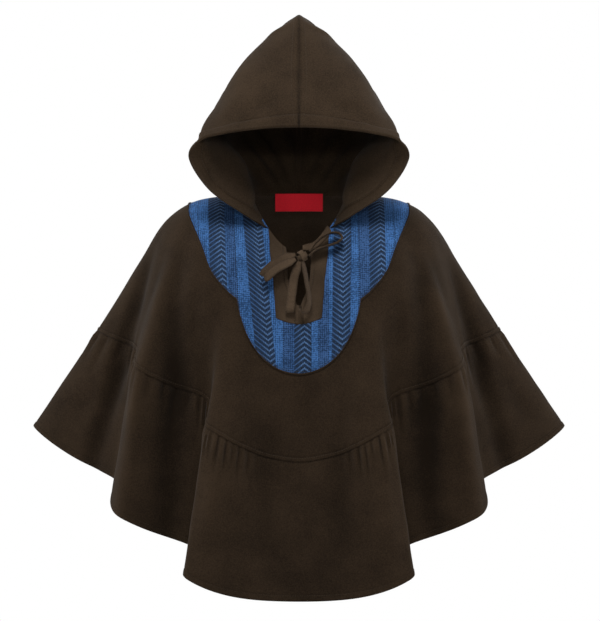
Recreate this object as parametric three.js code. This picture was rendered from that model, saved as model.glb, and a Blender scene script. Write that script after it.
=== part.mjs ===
// A hooded cape in two tiers, filled out as if worn but with no wearer.
// Millimetres, +Z up. The front faces -Y, and the origin is the middle of the
// neck between the shoulders, where the wearer holds the cape up.
//
// Every place on the cape's body is an angle round the neck, 0 at the front and
// 180 at the back, and a reach, which is the length of cloth from the neck seam.

import * as THREE from 'three';

// Cloth and seams
const WALL = 1.8;
const GAP = 0.3;
const DEGREE = Math.PI / 180;

// Neck seam: half its width, its depth to the front and back, and its heights
const NECK_HALF_WIDTH = 74;
const NECK_FRONT = 76;
const NECK_BACK = 62;
const NECK_SIDE_HEIGHT = 9;
const NECK_BACK_HEIGHT = 12;
const NECK_DIP = 89;
const NECK_DIP_POWER = 2.2;

// Fall of the cloth: its slope at the neck, the reach where it begins and ends
// to bend over the shoulder, and its flare from the vertical once it hangs
const FALL = {
  front: { slope: 58, bendFrom: 0, bendTo: 150, flare: 12 },
  side: { slope: 5, bendFrom: 34, bendTo: 187, flare: 26 },
  back: { slope: 30, bendFrom: 10, bendTo: 170, flare: 14 },
};

// Folds on each side, from the front to the back. Flares are in degrees, the
// lengths are of the upper tier and of the flounce.
const FOLDS = [
  { name: 'front hollow', angle: 0, heading: 0, flare: 12, hemFlare: 15, upper: 316, flounce: 196 },
  { name: 'front ridge', angle: 32, heading: 42, flare: 20, hemFlare: 13, upper: 320, flounce: 210 },
  { name: 'front valley', angle: 46, heading: 44, flare: 1, hemFlare: 6, upper: 308, flounce: 213 },
  { name: 'arm ridge', angle: 60, heading: 64, flare: 23.5, hemFlare: 10, upper: 322, flounce: 208 },
  { name: 'arm valley', angle: 76, heading: 78, flare: 12, hemFlare: 9, upper: 324, flounce: 193 },
  { name: 'side ridge', angle: 92, heading: 92, flare: 32, hemFlare: 34, upper: 330, flounce: 173 },
  { name: 'side valley', angle: 110, heading: 110, flare: 14, hemFlare: 12, upper: 340, flounce: 188 },
  { name: 'back ridge', angle: 130, heading: 135, flare: 26, hemFlare: 20, upper: 360, flounce: 197 },
  { name: 'back valley', angle: 148, heading: 148, flare: 5, hemFlare: 7, upper: 375, flounce: 200 },
  { name: 'middle ridge', angle: 164, heading: 166, flare: 20, hemFlare: 16, upper: 392, flounce: 203 },
  { name: 'back hollow', angle: 180, heading: 180, flare: 9, hemFlare: 10, upper: 400, flounce: 205 },
];
const FOLD_FROM = 70;
const FOLD_TO = 260;
const HEM_FLARE_BLEND = 60;
const SIDE_ANGLE = 92;
const WALK_STEP = 6;
const COLUMN_STEP = 3.6;
const FRONT_ROWS = 6;
const YOKE_ROWS = 5;
const PLACKET_COLUMNS = 5;
const BACK_SHARES = [0, 0.1, 0.2, 0.3, 0.42, 0.58, 0.78, 1];

// Gathers of the flounce where it is sewn to the upper tier
const TIER_GAP = 0.6;
const GATHER_HEIGHT = 3;
const GATHER_AT_SEAM = 0.35;
const GATHER_FULL = 10;
const GATHER_END = 62;
const FLOUNCE_SHARES = [0, 0.06, 0.16, 0.32, 0.6, 1];

// Striped yoke: its bib below the neck, and its edge out to each shoulder
const BIB_REACH = 190;
const BIB_ANGLE = 34.5;
const BIB_RISE = 60;
const BIB_POWER = 3.6;
const YOKE_SHOULDER = [
  { angle: 34.5, reach: 130 },
  { angle: 41, reach: 133 },
  { angle: 48, reach: 130 },
  { angle: 54.5, reach: 116 },
  { angle: 61, reach: 108 },
  { angle: 73, reach: 101 },
  { angle: 82, reach: 94 },
  { angle: 92, reach: 90 },
];
const PIPING_WIDTH = 4;
const PIPING_THICK = 1.2;

// Placket inside the yoke: its side edge, and half the angle of its slit
const PLACKET_SIDE = [
  { angle: 37.5, reach: 0 },
  { angle: 31.5, reach: 12 },
  { angle: 26.5, reach: 30 },
  { angle: 22.5, reach: 47 },
  { angle: 19.5, reach: 64 },
  { angle: 16.5, reach: 92 },
  { angle: 14.5, reach: 116.5 },
];
const SLIT = [
  { reach: 0, angle: 1 },
  { reach: 12, angle: 5 },
  { reach: 30, angle: 7 },
  { reach: 47, angle: 6 },
  { reach: 64, angle: 4 },
  { reach: 92, angle: 0 },
  { reach: 116.5, angle: 0 },
];

// Hood, right half as seen from the front: a section for each level from the
// neck seam up to the crown, at the front edge, the fold, the side, the nape
// and the seam. The first section is the neck seam itself.
const HOOD_FRONT_ANGLE = 37.5;
const HOOD = [
  { level: 0.15, rim: [83, -83, -24], fold: [60, -52, 0], side: [78, 0, 24], nape: [54, 47, 29], seam: [0, 68, 32] },
  { level: 0.3, rim: [130, -102, 9], fold: [70, -50, 26], side: [90, 2, 54], nape: [63, 54, 63], seam: [0, 78, 68] },
  { level: 0.45, rim: [159, -112, 53], fold: [90, -50, 58], side: [110, 0, 93], nape: [78, 60, 105], seam: [0, 86, 112] },
  { level: 0.55, rim: [150, -116, 77], fold: [139, -80, 94], side: [124, -8, 123], nape: [86, 58, 141], seam: [0, 88, 150] },
  { level: 0.7, rim: [106, -122, 90], fold: [125, -76, 118], side: [111, -16, 158], nape: [79, 48, 184], seam: [0, 80, 197] },
  { level: 0.85, rim: [52, -128, 96], fold: [90, -98, 141], side: [87, -42, 193], nape: [61, 20, 228], seam: [0, 58, 242] },
  { level: 0.93, rim: [25, -129.5, 97.5], fold: [48, -107, 144], side: [51, -64, 199], nape: [38, -4, 257], seam: [0, 38, 272] },
  { level: 1, rim: [0, -130, 98], fold: [0, -112, 143], side: [0, -82, 194], nape: [0, -36, 266], seam: [0, 10, 281] },
];
const HOOD_STATIONS = ['rim', 'fold', 'side', 'nape', 'seam'];
const HOOD_ROWS = 18;
const HOOD_COLUMNS = 16;
const SEAM_INSET = 0.98;

// Bare label inside the back neck
const LABEL_WIDTH = 75;
const LABEL_DROP = 26;
const LABEL_THICK = 0.8;
const LABEL_LEAN = 14;
const LABEL_ABOVE_SEAM = 1;
const LABEL_STEP = 6;

// Tie at the neck: a strap along the right neck edge, and a bow of two loops and
// two ends, each strand with its route and the direction of its width
const TIE_WIDTH = 13;
const TIE_THICK = 2.2;
const TIE_PINCH = 0.5;
const TIE_PINCH_LENGTH = 14;
const KNOT_CENTRE = [4.4, -92, -86.6];
const KNOT_RADII = [9, 7, 8];
const KNOT_SIDES = 14;
const KNOT_ROWS = 8;
const STRANDS = {
  tie_loop_left: {
    across: [0.65, -0.1, -0.76],
    steps: 18,
    pinched: 'both',
    route: [
      [-5.5, -94, -84.7], [-20, -101, -89], [-35, -109, -98], [-46, -117, -108],
      [-51, -121, -115], [-48, -125, -118], [-35, -119, -107], [-20, -110, -98.5], [-5.5, -99, -91.5],
    ],
  },
  tie_loop_right: {
    across: [0, -1, 0.1],
    steps: 20,
    pinched: 'both',
    route: [
      [14.1, -93, -86], [26, -91, -77], [42, -92, -71.5], [56, -94, -66.5], [62.5, -92, -60],
      [58, -88, -53.5], [48, -86, -52.5], [36, -86, -57.5], [25, -88, -66.5], [15.5, -92, -79.5],
    ],
  },
  tie_tail_left: {
    across: [1, 0, 0.1],
    steps: 12,
    pinched: 'start',
    route: [
      [1.2, -93.4, -94.6], [-5.8, -103, -114], [-9.4, -114, -136], [-11.6, -124, -155],
      [-12.6, -128.5, -163.5], [-13, -126.5, -168], [-13, -123, -165],
    ],
  },
  tie_tail_right: {
    across: [-0.5, -0.8, 0.3],
    steps: 14,
    pinched: 'start',
    route: [
      [6.2, -93.8, -94.9], [9, -107, -112], [12, -118, -130], [14.5, -126, -146],
      [14, -131, -159], [8.5, -133, -167.5], [2, -132, -166], [0.5, -130, -159],
    ],
  },
};
const STRAP_FROM = 5;
const STRAP_TO = 36;
const STRAP_ABOVE = 5;
const STRAP_BELOW = 7;
const STRAP_RISE = 9;
const STRAP_RISE_ANGLE = 20;
const STRAP_STEP = 3;

// Colours of the cloth
const BROWN = { color: 0x3a2f25, roughness: 0.95, metalness: 0 };
const HOOD_BROWN = { color: 0x41362b, roughness: 0.95, metalness: 0 };
const WOVEN_BLUE = { color: 0x37537a, roughness: 0.9, metalness: 0 };
const LABEL_RED = { color: 0x8a1620, roughness: 0.8, metalness: 0 };

function cloth(colour) {
  return new THREE.MeshStandardMaterial(colour);
}

function smooth(from, to, value) {
  const share = THREE.MathUtils.clamp((value - from) / (to - from), 0, 1);
  return share * share * (3 - 2 * share);
}

// Value at x of a curve through rows that are sorted by their own x
function curveAt(xs, ys, x) {
  const last = xs.length - 1;
  let i = 0;
  while (i < last - 1 && x > xs[i + 1]) i += 1;
  const slopeAt = (k) => {
    const low = Math.max(k - 1, 0);
    const high = Math.min(k + 1, last);
    return (ys[high] - ys[low]) / (xs[high] - xs[low]);
  };
  const span = xs[i + 1] - xs[i];
  const t = THREE.MathUtils.clamp((x - xs[i]) / span, 0, 1);
  const rise = smooth(0, 1, t);
  const leave = t * (1 - t) * (1 - t) * span * slopeAt(i);
  const arrive = t * t * (t - 1) * span * slopeAt(i + 1);
  return ys[i] + (ys[i + 1] - ys[i]) * rise + leave + arrive;
}

// Straight-line value at x between rows, which shared edges are cut to
function lineAt(rows, xName, yName, x) {
  const sorted = [...rows].sort((a, b) => a[xName] - b[xName]);
  let i = 0;
  while (i < sorted.length - 2 && x > sorted[i + 1][xName]) i += 1;
  const low = sorted[i];
  const high = sorted[i + 1];
  const t = THREE.MathUtils.clamp((x - low[xName]) / (high[xName] - low[xName]), 0, 1);
  return THREE.MathUtils.lerp(low[yName], high[yName], t);
}

// Front, side and back values blended round the neck
function around(angle, name) {
  const forward = Math.cos(angle * DEGREE);
  const end = forward > 0 ? FALL.front : FALL.back;
  return FALL.side[name] + (end[name] - FALL.side[name]) * forward * forward;
}

function foldAt(angle) {
  const turned = Math.abs(angle);
  let i = 0;
  while (i < FOLDS.length - 2 && turned > FOLDS[i + 1].angle) i += 1;
  const low = FOLDS[i];
  const high = FOLDS[i + 1];
  const share = (turned - low.angle) / (high.angle - low.angle);
  const ease = 0.5 - 0.5 * Math.cos(Math.PI * share);
  const between = (a, b) => a + (b - a) * ease;
  return {
    turn: between(low.heading - low.angle, high.heading - high.angle),
    flare: between(low.flare, high.flare),
    hemFlare: between(low.hemFlare, high.hemFlare),
    upper: between(low.upper, high.upper),
    hem: between(low.upper + low.flounce, high.upper + high.flounce),
  };
}

function neckPoint(angle) {
  const forward = Math.cos(angle * DEGREE);
  const x = NECK_HALF_WIDTH * Math.sin(angle * DEGREE);
  if (forward > 0) {
    const z = NECK_SIDE_HEIGHT - NECK_DIP * forward ** NECK_DIP_POWER;
    return new THREE.Vector3(x, -NECK_FRONT * forward, z);
  }
  const rise = (NECK_BACK_HEIGHT - NECK_SIDE_HEIGHT) * forward * forward;
  return new THREE.Vector3(x, -NECK_BACK * forward, NECK_SIDE_HEIGHT + rise);
}

// Walks along the cloth from the neck seam, so that its length stays true
function bodyPoint(angle, reach) {
  const side = angle < 0 ? -1 : 1;
  const turned = Math.abs(angle);
  const fold = foldAt(turned);
  const slope = around(turned, 'slope');
  const bendFrom = around(turned, 'bendFrom');
  const bendTo = around(turned, 'bendTo');
  const plainFlare = around(turned, 'flare');
  const point = neckPoint(turned);
  const steps = Math.max(1, Math.ceil(Math.abs(reach) / WALK_STEP));
  const step = reach / steps;
  for (let i = 0; i < steps; i += 1) {
    const here = (i + 0.5) * step;
    const bend = smooth(bendFrom, bendTo, here);
    const folded = smooth(FOLD_FROM, FOLD_TO, here);
    const hung = smooth(fold.upper - HEM_FLARE_BLEND / 2, fold.upper + HEM_FLARE_BLEND / 2, here);
    const upperFlare = THREE.MathUtils.lerp(plainFlare, fold.flare, folded);
    const flare = THREE.MathUtils.lerp(upperFlare, fold.hemFlare, hung);
    const fall = THREE.MathUtils.lerp(slope, 90 - flare, bend) * DEGREE;
    const heading = (turned + fold.turn * bend) * DEGREE;
    point.x += Math.sin(heading) * Math.cos(fall) * step;
    point.y -= Math.cos(heading) * Math.cos(fall) * step;
    point.z -= Math.sin(fall) * step;
  }
  point.x *= side;
  return point;
}

function bodyNormal(angle, reach) {
  const probe = 0.6;
  const across = bodyPoint(angle + probe, reach).sub(bodyPoint(angle - probe, reach));
  const low = reach < 0 ? reach - 1 : Math.max(reach - 1, 0);
  const down = bodyPoint(angle, reach + 1).sub(bodyPoint(angle, low));
  return down.cross(across).normalize();
}

// Outer and inner points of one place: moved out from the cloth's own surface
function bodyPair(angle, reach, lift = 0, thick = WALL) {
  const normal = bodyNormal(angle, reach);
  const surface = bodyPoint(angle, reach);
  const outer = surface.clone().addScaledVector(normal, lift);
  const inner = outer.clone().addScaledVector(normal, -thick);
  return { outer, inner };
}

// Draws the points of an edge column towards its neighbour, to leave a seam gap
function drawIn(row, edge, neighbour, distance) {
  for (const skin of ['outer', 'inner']) {
    const step = row[neighbour][skin].clone().sub(row[edge][skin]).setLength(distance);
    row[edge][skin] = row[edge][skin].clone().add(step);
  }
}

function drawInSides(rows, distance) {
  for (const row of rows) {
    drawIn(row, 0, 1, distance);
    drawIn(row, row.length - 1, row.length - 2, distance);
  }
}

// Closed solid between an outer and an inner grid of points
function solidFromPairs(rows) {
  const count = rows.length;
  const width = rows[0].length;
  const positions = [];
  for (const skin of ['outer', 'inner']) {
    for (const row of rows) {
      for (const pair of row) positions.push(pair[skin].x, pair[skin].y, pair[skin].z);
    }
  }
  const outerAt = (r, c) => r * width + c;
  const innerAt = (r, c) => count * width + r * width + c;
  const triangles = [];
  const quad = (a, b, c, d) => triangles.push(a, b, c, a, c, d);
  for (let r = 0; r < count - 1; r += 1) {
    for (let c = 0; c < width - 1; c += 1) {
      quad(outerAt(r, c), outerAt(r + 1, c), outerAt(r + 1, c + 1), outerAt(r, c + 1));
      quad(innerAt(r, c), innerAt(r, c + 1), innerAt(r + 1, c + 1), innerAt(r + 1, c));
    }
    quad(outerAt(r, 0), innerAt(r, 0), innerAt(r + 1, 0), outerAt(r + 1, 0));
    const end = width - 1;
    quad(outerAt(r, end), outerAt(r + 1, end), innerAt(r + 1, end), innerAt(r, end));
  }
  for (let c = 0; c < width - 1; c += 1) {
    quad(outerAt(0, c), outerAt(0, c + 1), innerAt(0, c + 1), innerAt(0, c));
    const last = count - 1;
    quad(outerAt(last, c), innerAt(last, c), innerAt(last, c + 1), outerAt(last, c + 1));
  }
  return closedGeometry(positions, triangles);
}

// Six times the volume, negative where the faces point inwards
function signedVolume(positions, triangles) {
  const corner = (i) => new THREE.Vector3().fromArray(positions, triangles[i] * 3);
  let volume = 0;
  for (let i = 0; i < triangles.length; i += 3) {
    volume += corner(i).dot(corner(i + 1).cross(corner(i + 2)));
  }
  return volume;
}

function closedGeometry(positions, triangles) {
  const geometry = new THREE.BufferGeometry();
  geometry.setAttribute('position', new THREE.Float32BufferAttribute(positions, 3));
  const facesOut = signedVolume(positions, triangles) > 0;
  geometry.setIndex(facesOut ? triangles : [...triangles].reverse());
  geometry.computeVertexNormals();
  return geometry;
}

const cape = new THREE.Group();

function addPiece(name, geometry, colour) {
  const mesh = new THREE.Mesh(geometry, cloth(colour));
  mesh.name = name;
  cape.add(mesh);
}

// Numbers from low to high through every key value, with no step over the widest
function spread(keys, widest) {
  const values = [keys[0]];
  for (let i = 1; i < keys.length; i += 1) {
    const parts = Math.ceil((keys[i] - keys[i - 1]) / widest - 1e-6);
    for (let k = 1; k <= parts; k += 1) {
      values.push(THREE.MathUtils.lerp(keys[i - 1], keys[i], k / parts));
    }
  }
  return values;
}

// Every value and the middle of each step between
function halved(values) {
  return values.flatMap((value, i) => (i === 0 ? [value] : [(values[i - 1] + value) / 2, value]));
}

function mirrored(values) {
  const left = values.filter((value) => value > 0).map((value) => -value).reverse();
  return [...left, ...values];
}

// Angles of the front's columns, which the yoke, its piping and the front share
const PLACKET_ANGLES = PLACKET_SIDE.map((row) => row.angle).reverse();
const RIDGE_ANGLES = [29, 33, BIB_ANGLE, 36, 39.5, 41.5, 43.5, 45, 46.5, 48, 50.5];
const FRONT_KEYS = [0, ...PLACKET_ANGLES, ...RIDGE_ANGLES, 54.5, 60, 76, SIDE_ANGLE];
const FRONT_ANGLES = mirrored(spread(FRONT_KEYS.sort((a, b) => a - b), COLUMN_STEP));

function yokeEdge(angle) {
  const turned = Math.abs(angle);
  if (turned < BIB_ANGLE) return BIB_REACH - BIB_RISE * (turned / BIB_ANGLE) ** BIB_POWER;
  const angles = YOKE_SHOULDER.map((row) => row.angle);
  const reaches = YOKE_SHOULDER.map((row) => row.reach);
  return curveAt(angles, reaches, turned);
}

function yokeStart(angle) {
  const turned = Math.abs(angle);
  const plackets = PLACKET_SIDE[PLACKET_SIDE.length - 1];
  if (turned <= plackets.angle) return plackets.reach;
  if (turned >= PLACKET_SIDE[0].angle) return 0;
  return lineAt(PLACKET_SIDE, 'angle', 'reach', turned);
}

// A panel of the body between two reaches, which may differ at each angle
function bodyPanel(angles, rows, from, to, lift = 0, thick = WALL) {
  const shares = spread([0, 1], 1 / rows);
  return shares.map((share) => angles.map((angle) => {
    const reach = THREE.MathUtils.lerp(from(angle), to(angle), share);
    return bodyPair(angle, reach, lift, thick);
  }));
}

// Upper tier: the front below the yoke, and the whole back
const upperEnd = (angle) => foldAt(angle).upper - TIER_GAP / 2;
const frontUpper = bodyPanel(FRONT_ANGLES, FRONT_ROWS, (angle) => yokeEdge(angle) + GAP / 2, upperEnd);
drawInSides(frontUpper, GAP / 2);
addPiece('front_upper', solidFromPairs(frontUpper), BROWN);

const BACK_KEYS = FOLDS.map((fold) => fold.angle).filter((angle) => angle >= SIDE_ANGLE);
const BACK_HALF = spread(BACK_KEYS, COLUMN_STEP);
const BACK_ANGLES = [...BACK_HALF, ...BACK_HALF.slice(0, -1).map((angle) => 360 - angle).reverse()];

// The back is one panel across the middle, so its angles run on past 180
function backPair(angle, reachAt, liftAt = () => 0) {
  const turned = angle > 180 ? 360 - angle : angle;
  const reach = reachAt(turned);
  const pair = bodyPair(turned, reach, liftAt(turned, reach));
  return angle > 180 ? flip(pair) : pair;
}

function flip(pair) {
  for (const skin of ['outer', 'inner']) pair[skin].x *= -1;
  return pair;
}

const backUpper = BACK_SHARES.map((share) => (
  BACK_ANGLES.map((angle) => backPair(angle, (turned) => share * upperEnd(turned)))
));
drawInSides(backUpper, GAP / 2);
addPiece('back_upper', solidFromPairs(backUpper), BROWN);

// Flounce: a lower tier, longer along its top than the seam that gathers it
function gatherLift(angle, reach, column) {
  const below = reach - foldAt(angle).upper;
  const rise = THREE.MathUtils.lerp(GATHER_AT_SEAM, 1, smooth(0, GATHER_FULL, below));
  const fade = 1 - smooth(GATHER_FULL, GATHER_END, below);
  const side = column % 2 === 0 ? -0.5 : 0.5;
  return side * GATHER_HEIGHT * rise * fade;
}

function flouncePairs(angles) {
  return FLOUNCE_SHARES.map((share) => angles.map((angle, column) => {
    const reachAt = (turned) => {
      const fold = foldAt(turned);
      return THREE.MathUtils.lerp(fold.upper + TIER_GAP / 2, fold.hem, share);
    };
    const liftAt = (turned, reach) => gatherLift(turned, reach, column);
    return backPair(angle, reachAt, liftAt);
  }));
}

const flounceFront = flouncePairs(halved(FRONT_ANGLES));
drawInSides(flounceFront, GAP / 2);
addPiece('flounce_front', solidFromPairs(flounceFront), BROWN);

const flounceBack = flouncePairs(halved(BACK_ANGLES));
drawInSides(flounceBack, GAP / 2);
addPiece('flounce_back', solidFromPairs(flounceBack), BROWN);

// Yoke, and the piping that is sewn along its outer edge
function yokeInnerReach(angle) {
  const atPlacketFoot = Math.abs(angle) <= PLACKET_SIDE[PLACKET_SIDE.length - 1].angle;
  return yokeStart(angle) + (atPlacketFoot ? GAP / 2 : 0);
}

const yoke = bodyPanel(FRONT_ANGLES, YOKE_ROWS, yokeInnerReach, (angle) => yokeEdge(angle) - GAP / 2);
drawInSides(yoke, GAP / 2);
addPiece('yoke', solidFromPairs(yoke), WOVEN_BLUE);

const pipingFrom = (angle) => yokeEdge(angle) - PIPING_WIDTH / 2;
const pipingTo = (angle) => yokeEdge(angle) + PIPING_WIDTH / 2;
const pipingLift = GAP + PIPING_THICK;
const piping = bodyPanel(FRONT_ANGLES, 1, pipingFrom, pipingTo, pipingLift, PIPING_THICK);
drawInSides(piping, GAP / 2);
addPiece('yoke_piping', solidFromPairs(piping), BROWN);

// Placket: a half on each side of the neck slit
function placketPairs(side) {
  const columns = spread([0, 1], 1 / PLACKET_COLUMNS);
  return SLIT.map(({ reach, angle }) => {
    const edge = lineAt(PLACKET_SIDE, 'reach', 'angle', reach);
    const atFoot = reach === PLACKET_SIDE[PLACKET_SIDE.length - 1].reach;
    const place = reach - (atFoot ? GAP / 2 : 0);
    return columns.map((share) => bodyPair(side * THREE.MathUtils.lerp(angle, edge, share), place));
  });
}

for (const [name, side] of [['placket_left', -1], ['placket_right', 1]]) {
  const placket = placketPairs(side);
  for (const row of placket) {
    drawIn(row, 0, 1, GAP / 2);
    drawIn(row, PLACKET_COLUMNS, PLACKET_COLUMNS - 1, GAP);
  }
  addPiece(name, solidFromPairs(placket), BROWN);
}

// Hood
const HOOD_LEVELS = [0, ...HOOD.map((row) => row.level)];
const HOOD_SHARES = HOOD_STATIONS.map((station, i) => i / (HOOD_STATIONS.length - 1));
const hoodAngle = (share) => THREE.MathUtils.lerp(HOOD_FRONT_ANGLE, 180, share);
const HOOD_FOOT = HOOD_SHARES.map((share) => neckPoint(hoodAngle(share)).toArray());

// Place at a level up the hood and a share of the way from its edge to its seam
function hoodPoint(level, share) {
  const coordinates = [0, 1, 2].map((axis) => {
    const stations = HOOD_STATIONS.map((station, i) => {
      const heights = [HOOD_FOOT[i][axis], ...HOOD.map((row) => row[station][axis])];
      return curveAt(HOOD_LEVELS, heights, level);
    });
    return curveAt(HOOD_SHARES, stations, share);
  });
  const point = new THREE.Vector3().fromArray(coordinates);
  const settle = 1 - smooth(0, HOOD[0].level, level);
  const foot = [0, 1, 2].map((axis) => curveAt(HOOD_SHARES, HOOD_FOOT.map((p) => p[axis]), share));
  const drift = neckPoint(hoodAngle(share)).sub(new THREE.Vector3().fromArray(foot));
  return point.addScaledVector(drift, settle);
}

function hoodNormal(level, share) {
  const probe = 0.01;
  const clampShare = (value) => THREE.MathUtils.clamp(value, 0, 1);
  const up = hoodPoint(clampShare(level + probe), share).sub(hoodPoint(clampShare(level - probe), share));
  const back = hoodPoint(level, clampShare(share + probe)).sub(hoodPoint(level, clampShare(share - probe)));
  return back.cross(up).normalize();
}

function hoodPair(level, share) {
  const normal = hoodNormal(Math.min(level, SEAM_INSET), Math.min(share, SEAM_INSET));
  const onSeam = level === 1 || share === 1;
  if (onSeam) normal.setX(0).normalize();
  const outer = hoodPoint(level, share);
  outer.z += GAP * (1 - smooth(0, HOOD[0].level, level));
  if (onSeam) outer.x = GAP / 2;
  const inner = outer.clone().addScaledVector(normal, -WALL);
  inner.x = Math.max(inner.x, GAP / 2);
  return { outer, inner };
}

function hoodPairs() {
  const rows = [];
  for (let r = 0; r <= HOOD_ROWS; r += 1) {
    const row = [];
    for (let c = 0; c <= HOOD_COLUMNS; c += 1) row.push(hoodPair(r / HOOD_ROWS, c / HOOD_COLUMNS));
    rows.push(row);
  }
  return rows;
}

const hoodRight = hoodPairs();
addPiece('hood_right', solidFromPairs(hoodRight), HOOD_BROWN);
const hoodLeft = hoodPairs();
hoodLeft.flat().forEach(flip);
addPiece('hood_left', solidFromPairs(hoodLeft), HOOD_BROWN);

// Label, hanging from the back neck seam just clear of the cloth
function labelPairs() {
  const halfAngle = Math.asin(LABEL_WIDTH / 2 / NECK_HALF_WIDTH) / DEGREE;
  const clear = WALL + 3 * GAP;
  return [0, 1].map((drop) => spread([180 - halfAngle, 180 + halfAngle], LABEL_STEP).map((angle) => {
    const seam = neckPoint(angle > 180 ? 360 - angle : angle);
    if (angle > 180) seam.x *= -1;
    const inward = new THREE.Vector3(-seam.x / NECK_HALF_WIDTH ** 2, -seam.y / NECK_BACK ** 2, 0);
    inward.normalize();
    const outer = seam.clone().addScaledVector(inward, clear - drop * LABEL_LEAN);
    outer.z = seam.z + LABEL_ABOVE_SEAM - drop * LABEL_DROP;
    const inner = outer.clone().addScaledVector(inward, LABEL_THICK);
    return { outer, inner };
  }));
}

addPiece('neck_label', solidFromPairs(labelPairs()), LABEL_RED);

// Tie: a flat strand swept along a route, its width kept square to its path. Its
// section's corners are shares of the strand's width and thickness.
const STRAND_SECTION = [
  [0.5, 0], [0.42, 0.4], [0, 0.5], [-0.42, 0.4], [-0.5, 0], [-0.42, -0.4], [0, -0.5], [0.42, -0.4],
];

function strandGeometry({ route, across, steps, pinched }) {
  const curve = new THREE.CatmullRomCurve3(route.map((point) => new THREE.Vector3(...point)));
  const length = curve.getLength();
  const positions = [];
  const triangles = [];
  const sides = STRAND_SECTION.length;
  for (let i = 0; i <= steps; i += 1) {
    const share = i / steps;
    const centre = curve.getPointAt(share);
    const along = curve.getTangentAt(share);
    const wide = new THREE.Vector3(...across);
    wide.addScaledVector(along, -wide.dot(along)).normalize();
    const deep = along.clone().cross(wide);
    const toKnot = length * (pinched === 'both' ? Math.min(share, 1 - share) : share);
    const width = TIE_WIDTH * THREE.MathUtils.lerp(TIE_PINCH, 1, smooth(0, TIE_PINCH_LENGTH, toKnot));
    for (const [w, t] of STRAND_SECTION) {
      const corner = centre.clone().addScaledVector(wide, w * width).addScaledVector(deep, t * TIE_THICK);
      positions.push(corner.x, corner.y, corner.z);
    }
  }
  for (let i = 0; i < steps; i += 1) {
    for (let k = 0; k < sides; k += 1) {
      const next = (k + 1) % sides;
      const a = i * sides + k;
      const b = i * sides + next;
      triangles.push(a, b, b + sides, a, b + sides, a + sides);
    }
  }
  for (let k = 1; k < sides - 1; k += 1) {
    triangles.push(0, k + 1, k);
    triangles.push(steps * sides, steps * sides + k, steps * sides + k + 1);
  }
  return closedGeometry(positions, triangles);
}

for (const [name, strand] of Object.entries(STRANDS)) addPiece(name, strandGeometry(strand), BROWN);

const knot = new THREE.SphereGeometry(1, KNOT_SIDES, KNOT_ROWS);
knot.scale(...KNOT_RADII);
knot.translate(...KNOT_CENTRE);
addPiece('tie_knot', knot, BROWN);

// Strap from the hood's right end, along the neck edge and up to the knot
function strapPairs() {
  const angles = spread([STRAP_FROM, STRAP_TO], STRAP_STEP);
  return [-STRAP_ABOVE, 0, STRAP_BELOW].map((reach) => angles.map((angle) => {
    const rise = STRAP_RISE * (1 - smooth(STRAP_FROM, STRAP_RISE_ANGLE, angle));
    return bodyPair(angle, reach, 2 * GAP + TIE_THICK + rise, TIE_THICK);
  }));
}

addPiece('tie_strap', solidFromPairs(strapPairs()), BROWN);

export default cape;
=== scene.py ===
# A hooded cape in two tiers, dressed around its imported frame.
# The tables hold millimetres and degrees, as the cape's cut does. Meshes are made in metres.
# A place on the body is an angle round the neck, 0 at the front and 180 at the back, and a
# reach, which is the length of cloth from the neck seam. A place on the hood is a level, from
# the neck seam to the crown, and a share of the way from the front edge to the back seam.

import math
from collections import namedtuple

import bpy
import numpy as np
from bpy.props import FloatProperty, FloatVectorProperty, PointerProperty
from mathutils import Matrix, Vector


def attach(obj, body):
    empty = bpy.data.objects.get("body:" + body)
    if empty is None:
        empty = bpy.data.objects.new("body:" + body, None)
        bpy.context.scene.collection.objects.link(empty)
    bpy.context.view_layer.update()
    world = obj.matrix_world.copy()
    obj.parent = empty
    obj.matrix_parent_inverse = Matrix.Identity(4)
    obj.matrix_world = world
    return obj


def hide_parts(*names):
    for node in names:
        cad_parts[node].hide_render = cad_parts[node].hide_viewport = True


bl_info = {
    "name": "Hooded cape",
    "version": (1, 0, 0),
    "blender": (4, 5, 0),
    "location": "3D View > Sidebar > Cape",
    "description": "Builds a hooded cape with a gathered flounce, a striped yoke and a bow",
    "category": "Add Mesh",
}

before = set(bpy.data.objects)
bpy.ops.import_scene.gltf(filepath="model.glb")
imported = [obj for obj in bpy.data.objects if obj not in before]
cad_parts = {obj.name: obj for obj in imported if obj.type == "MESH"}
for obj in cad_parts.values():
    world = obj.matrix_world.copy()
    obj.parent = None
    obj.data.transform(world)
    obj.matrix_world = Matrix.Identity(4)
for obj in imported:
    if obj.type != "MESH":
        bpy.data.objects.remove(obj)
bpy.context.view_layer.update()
BODY = "root"
MM = 0.001

# Cut of the body: the neck seam, the fall of the cloth and its folds on each side
NECK_HALF_WIDTH = 74
NECK_FRONT = 76
NECK_BACK = 62
NECK_SIDE_HEIGHT = 9
NECK_BACK_HEIGHT = 12
NECK_DIP = 89
NECK_DIP_POWER = 2.2

Fall = namedtuple("Fall", "slope bend_from bend_to flare")
FRONT_FALL = Fall(58, 0, 150, 12)
SIDE_FALL = Fall(5, 34, 187, 26)
BACK_FALL = Fall(30, 10, 170, 14)

Fold = namedtuple("Fold", "name angle heading flare hem_flare upper flounce")
FOLDS = [
    Fold("front hollow", 0, 0, 12, 15, 316, 196),
    Fold("front ridge", 32, 42, 20, 13, 320, 210),
    Fold("front valley", 46, 44, 1, 6, 308, 213),
    Fold("arm ridge", 60, 64, 23.5, 10, 322, 208),
    Fold("arm valley", 76, 78, 12, 9, 324, 193),
    Fold("side ridge", 92, 92, 32, 34, 330, 173),
    Fold("side valley", 110, 110, 14, 12, 340, 188),
    Fold("back ridge", 130, 135, 26, 20, 360, 197),
    Fold("back valley", 148, 148, 5, 7, 375, 200),
    Fold("middle ridge", 164, 166, 20, 16, 392, 203),
    Fold("back hollow", 180, 180, 9, 10, 400, 205),
]
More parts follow.
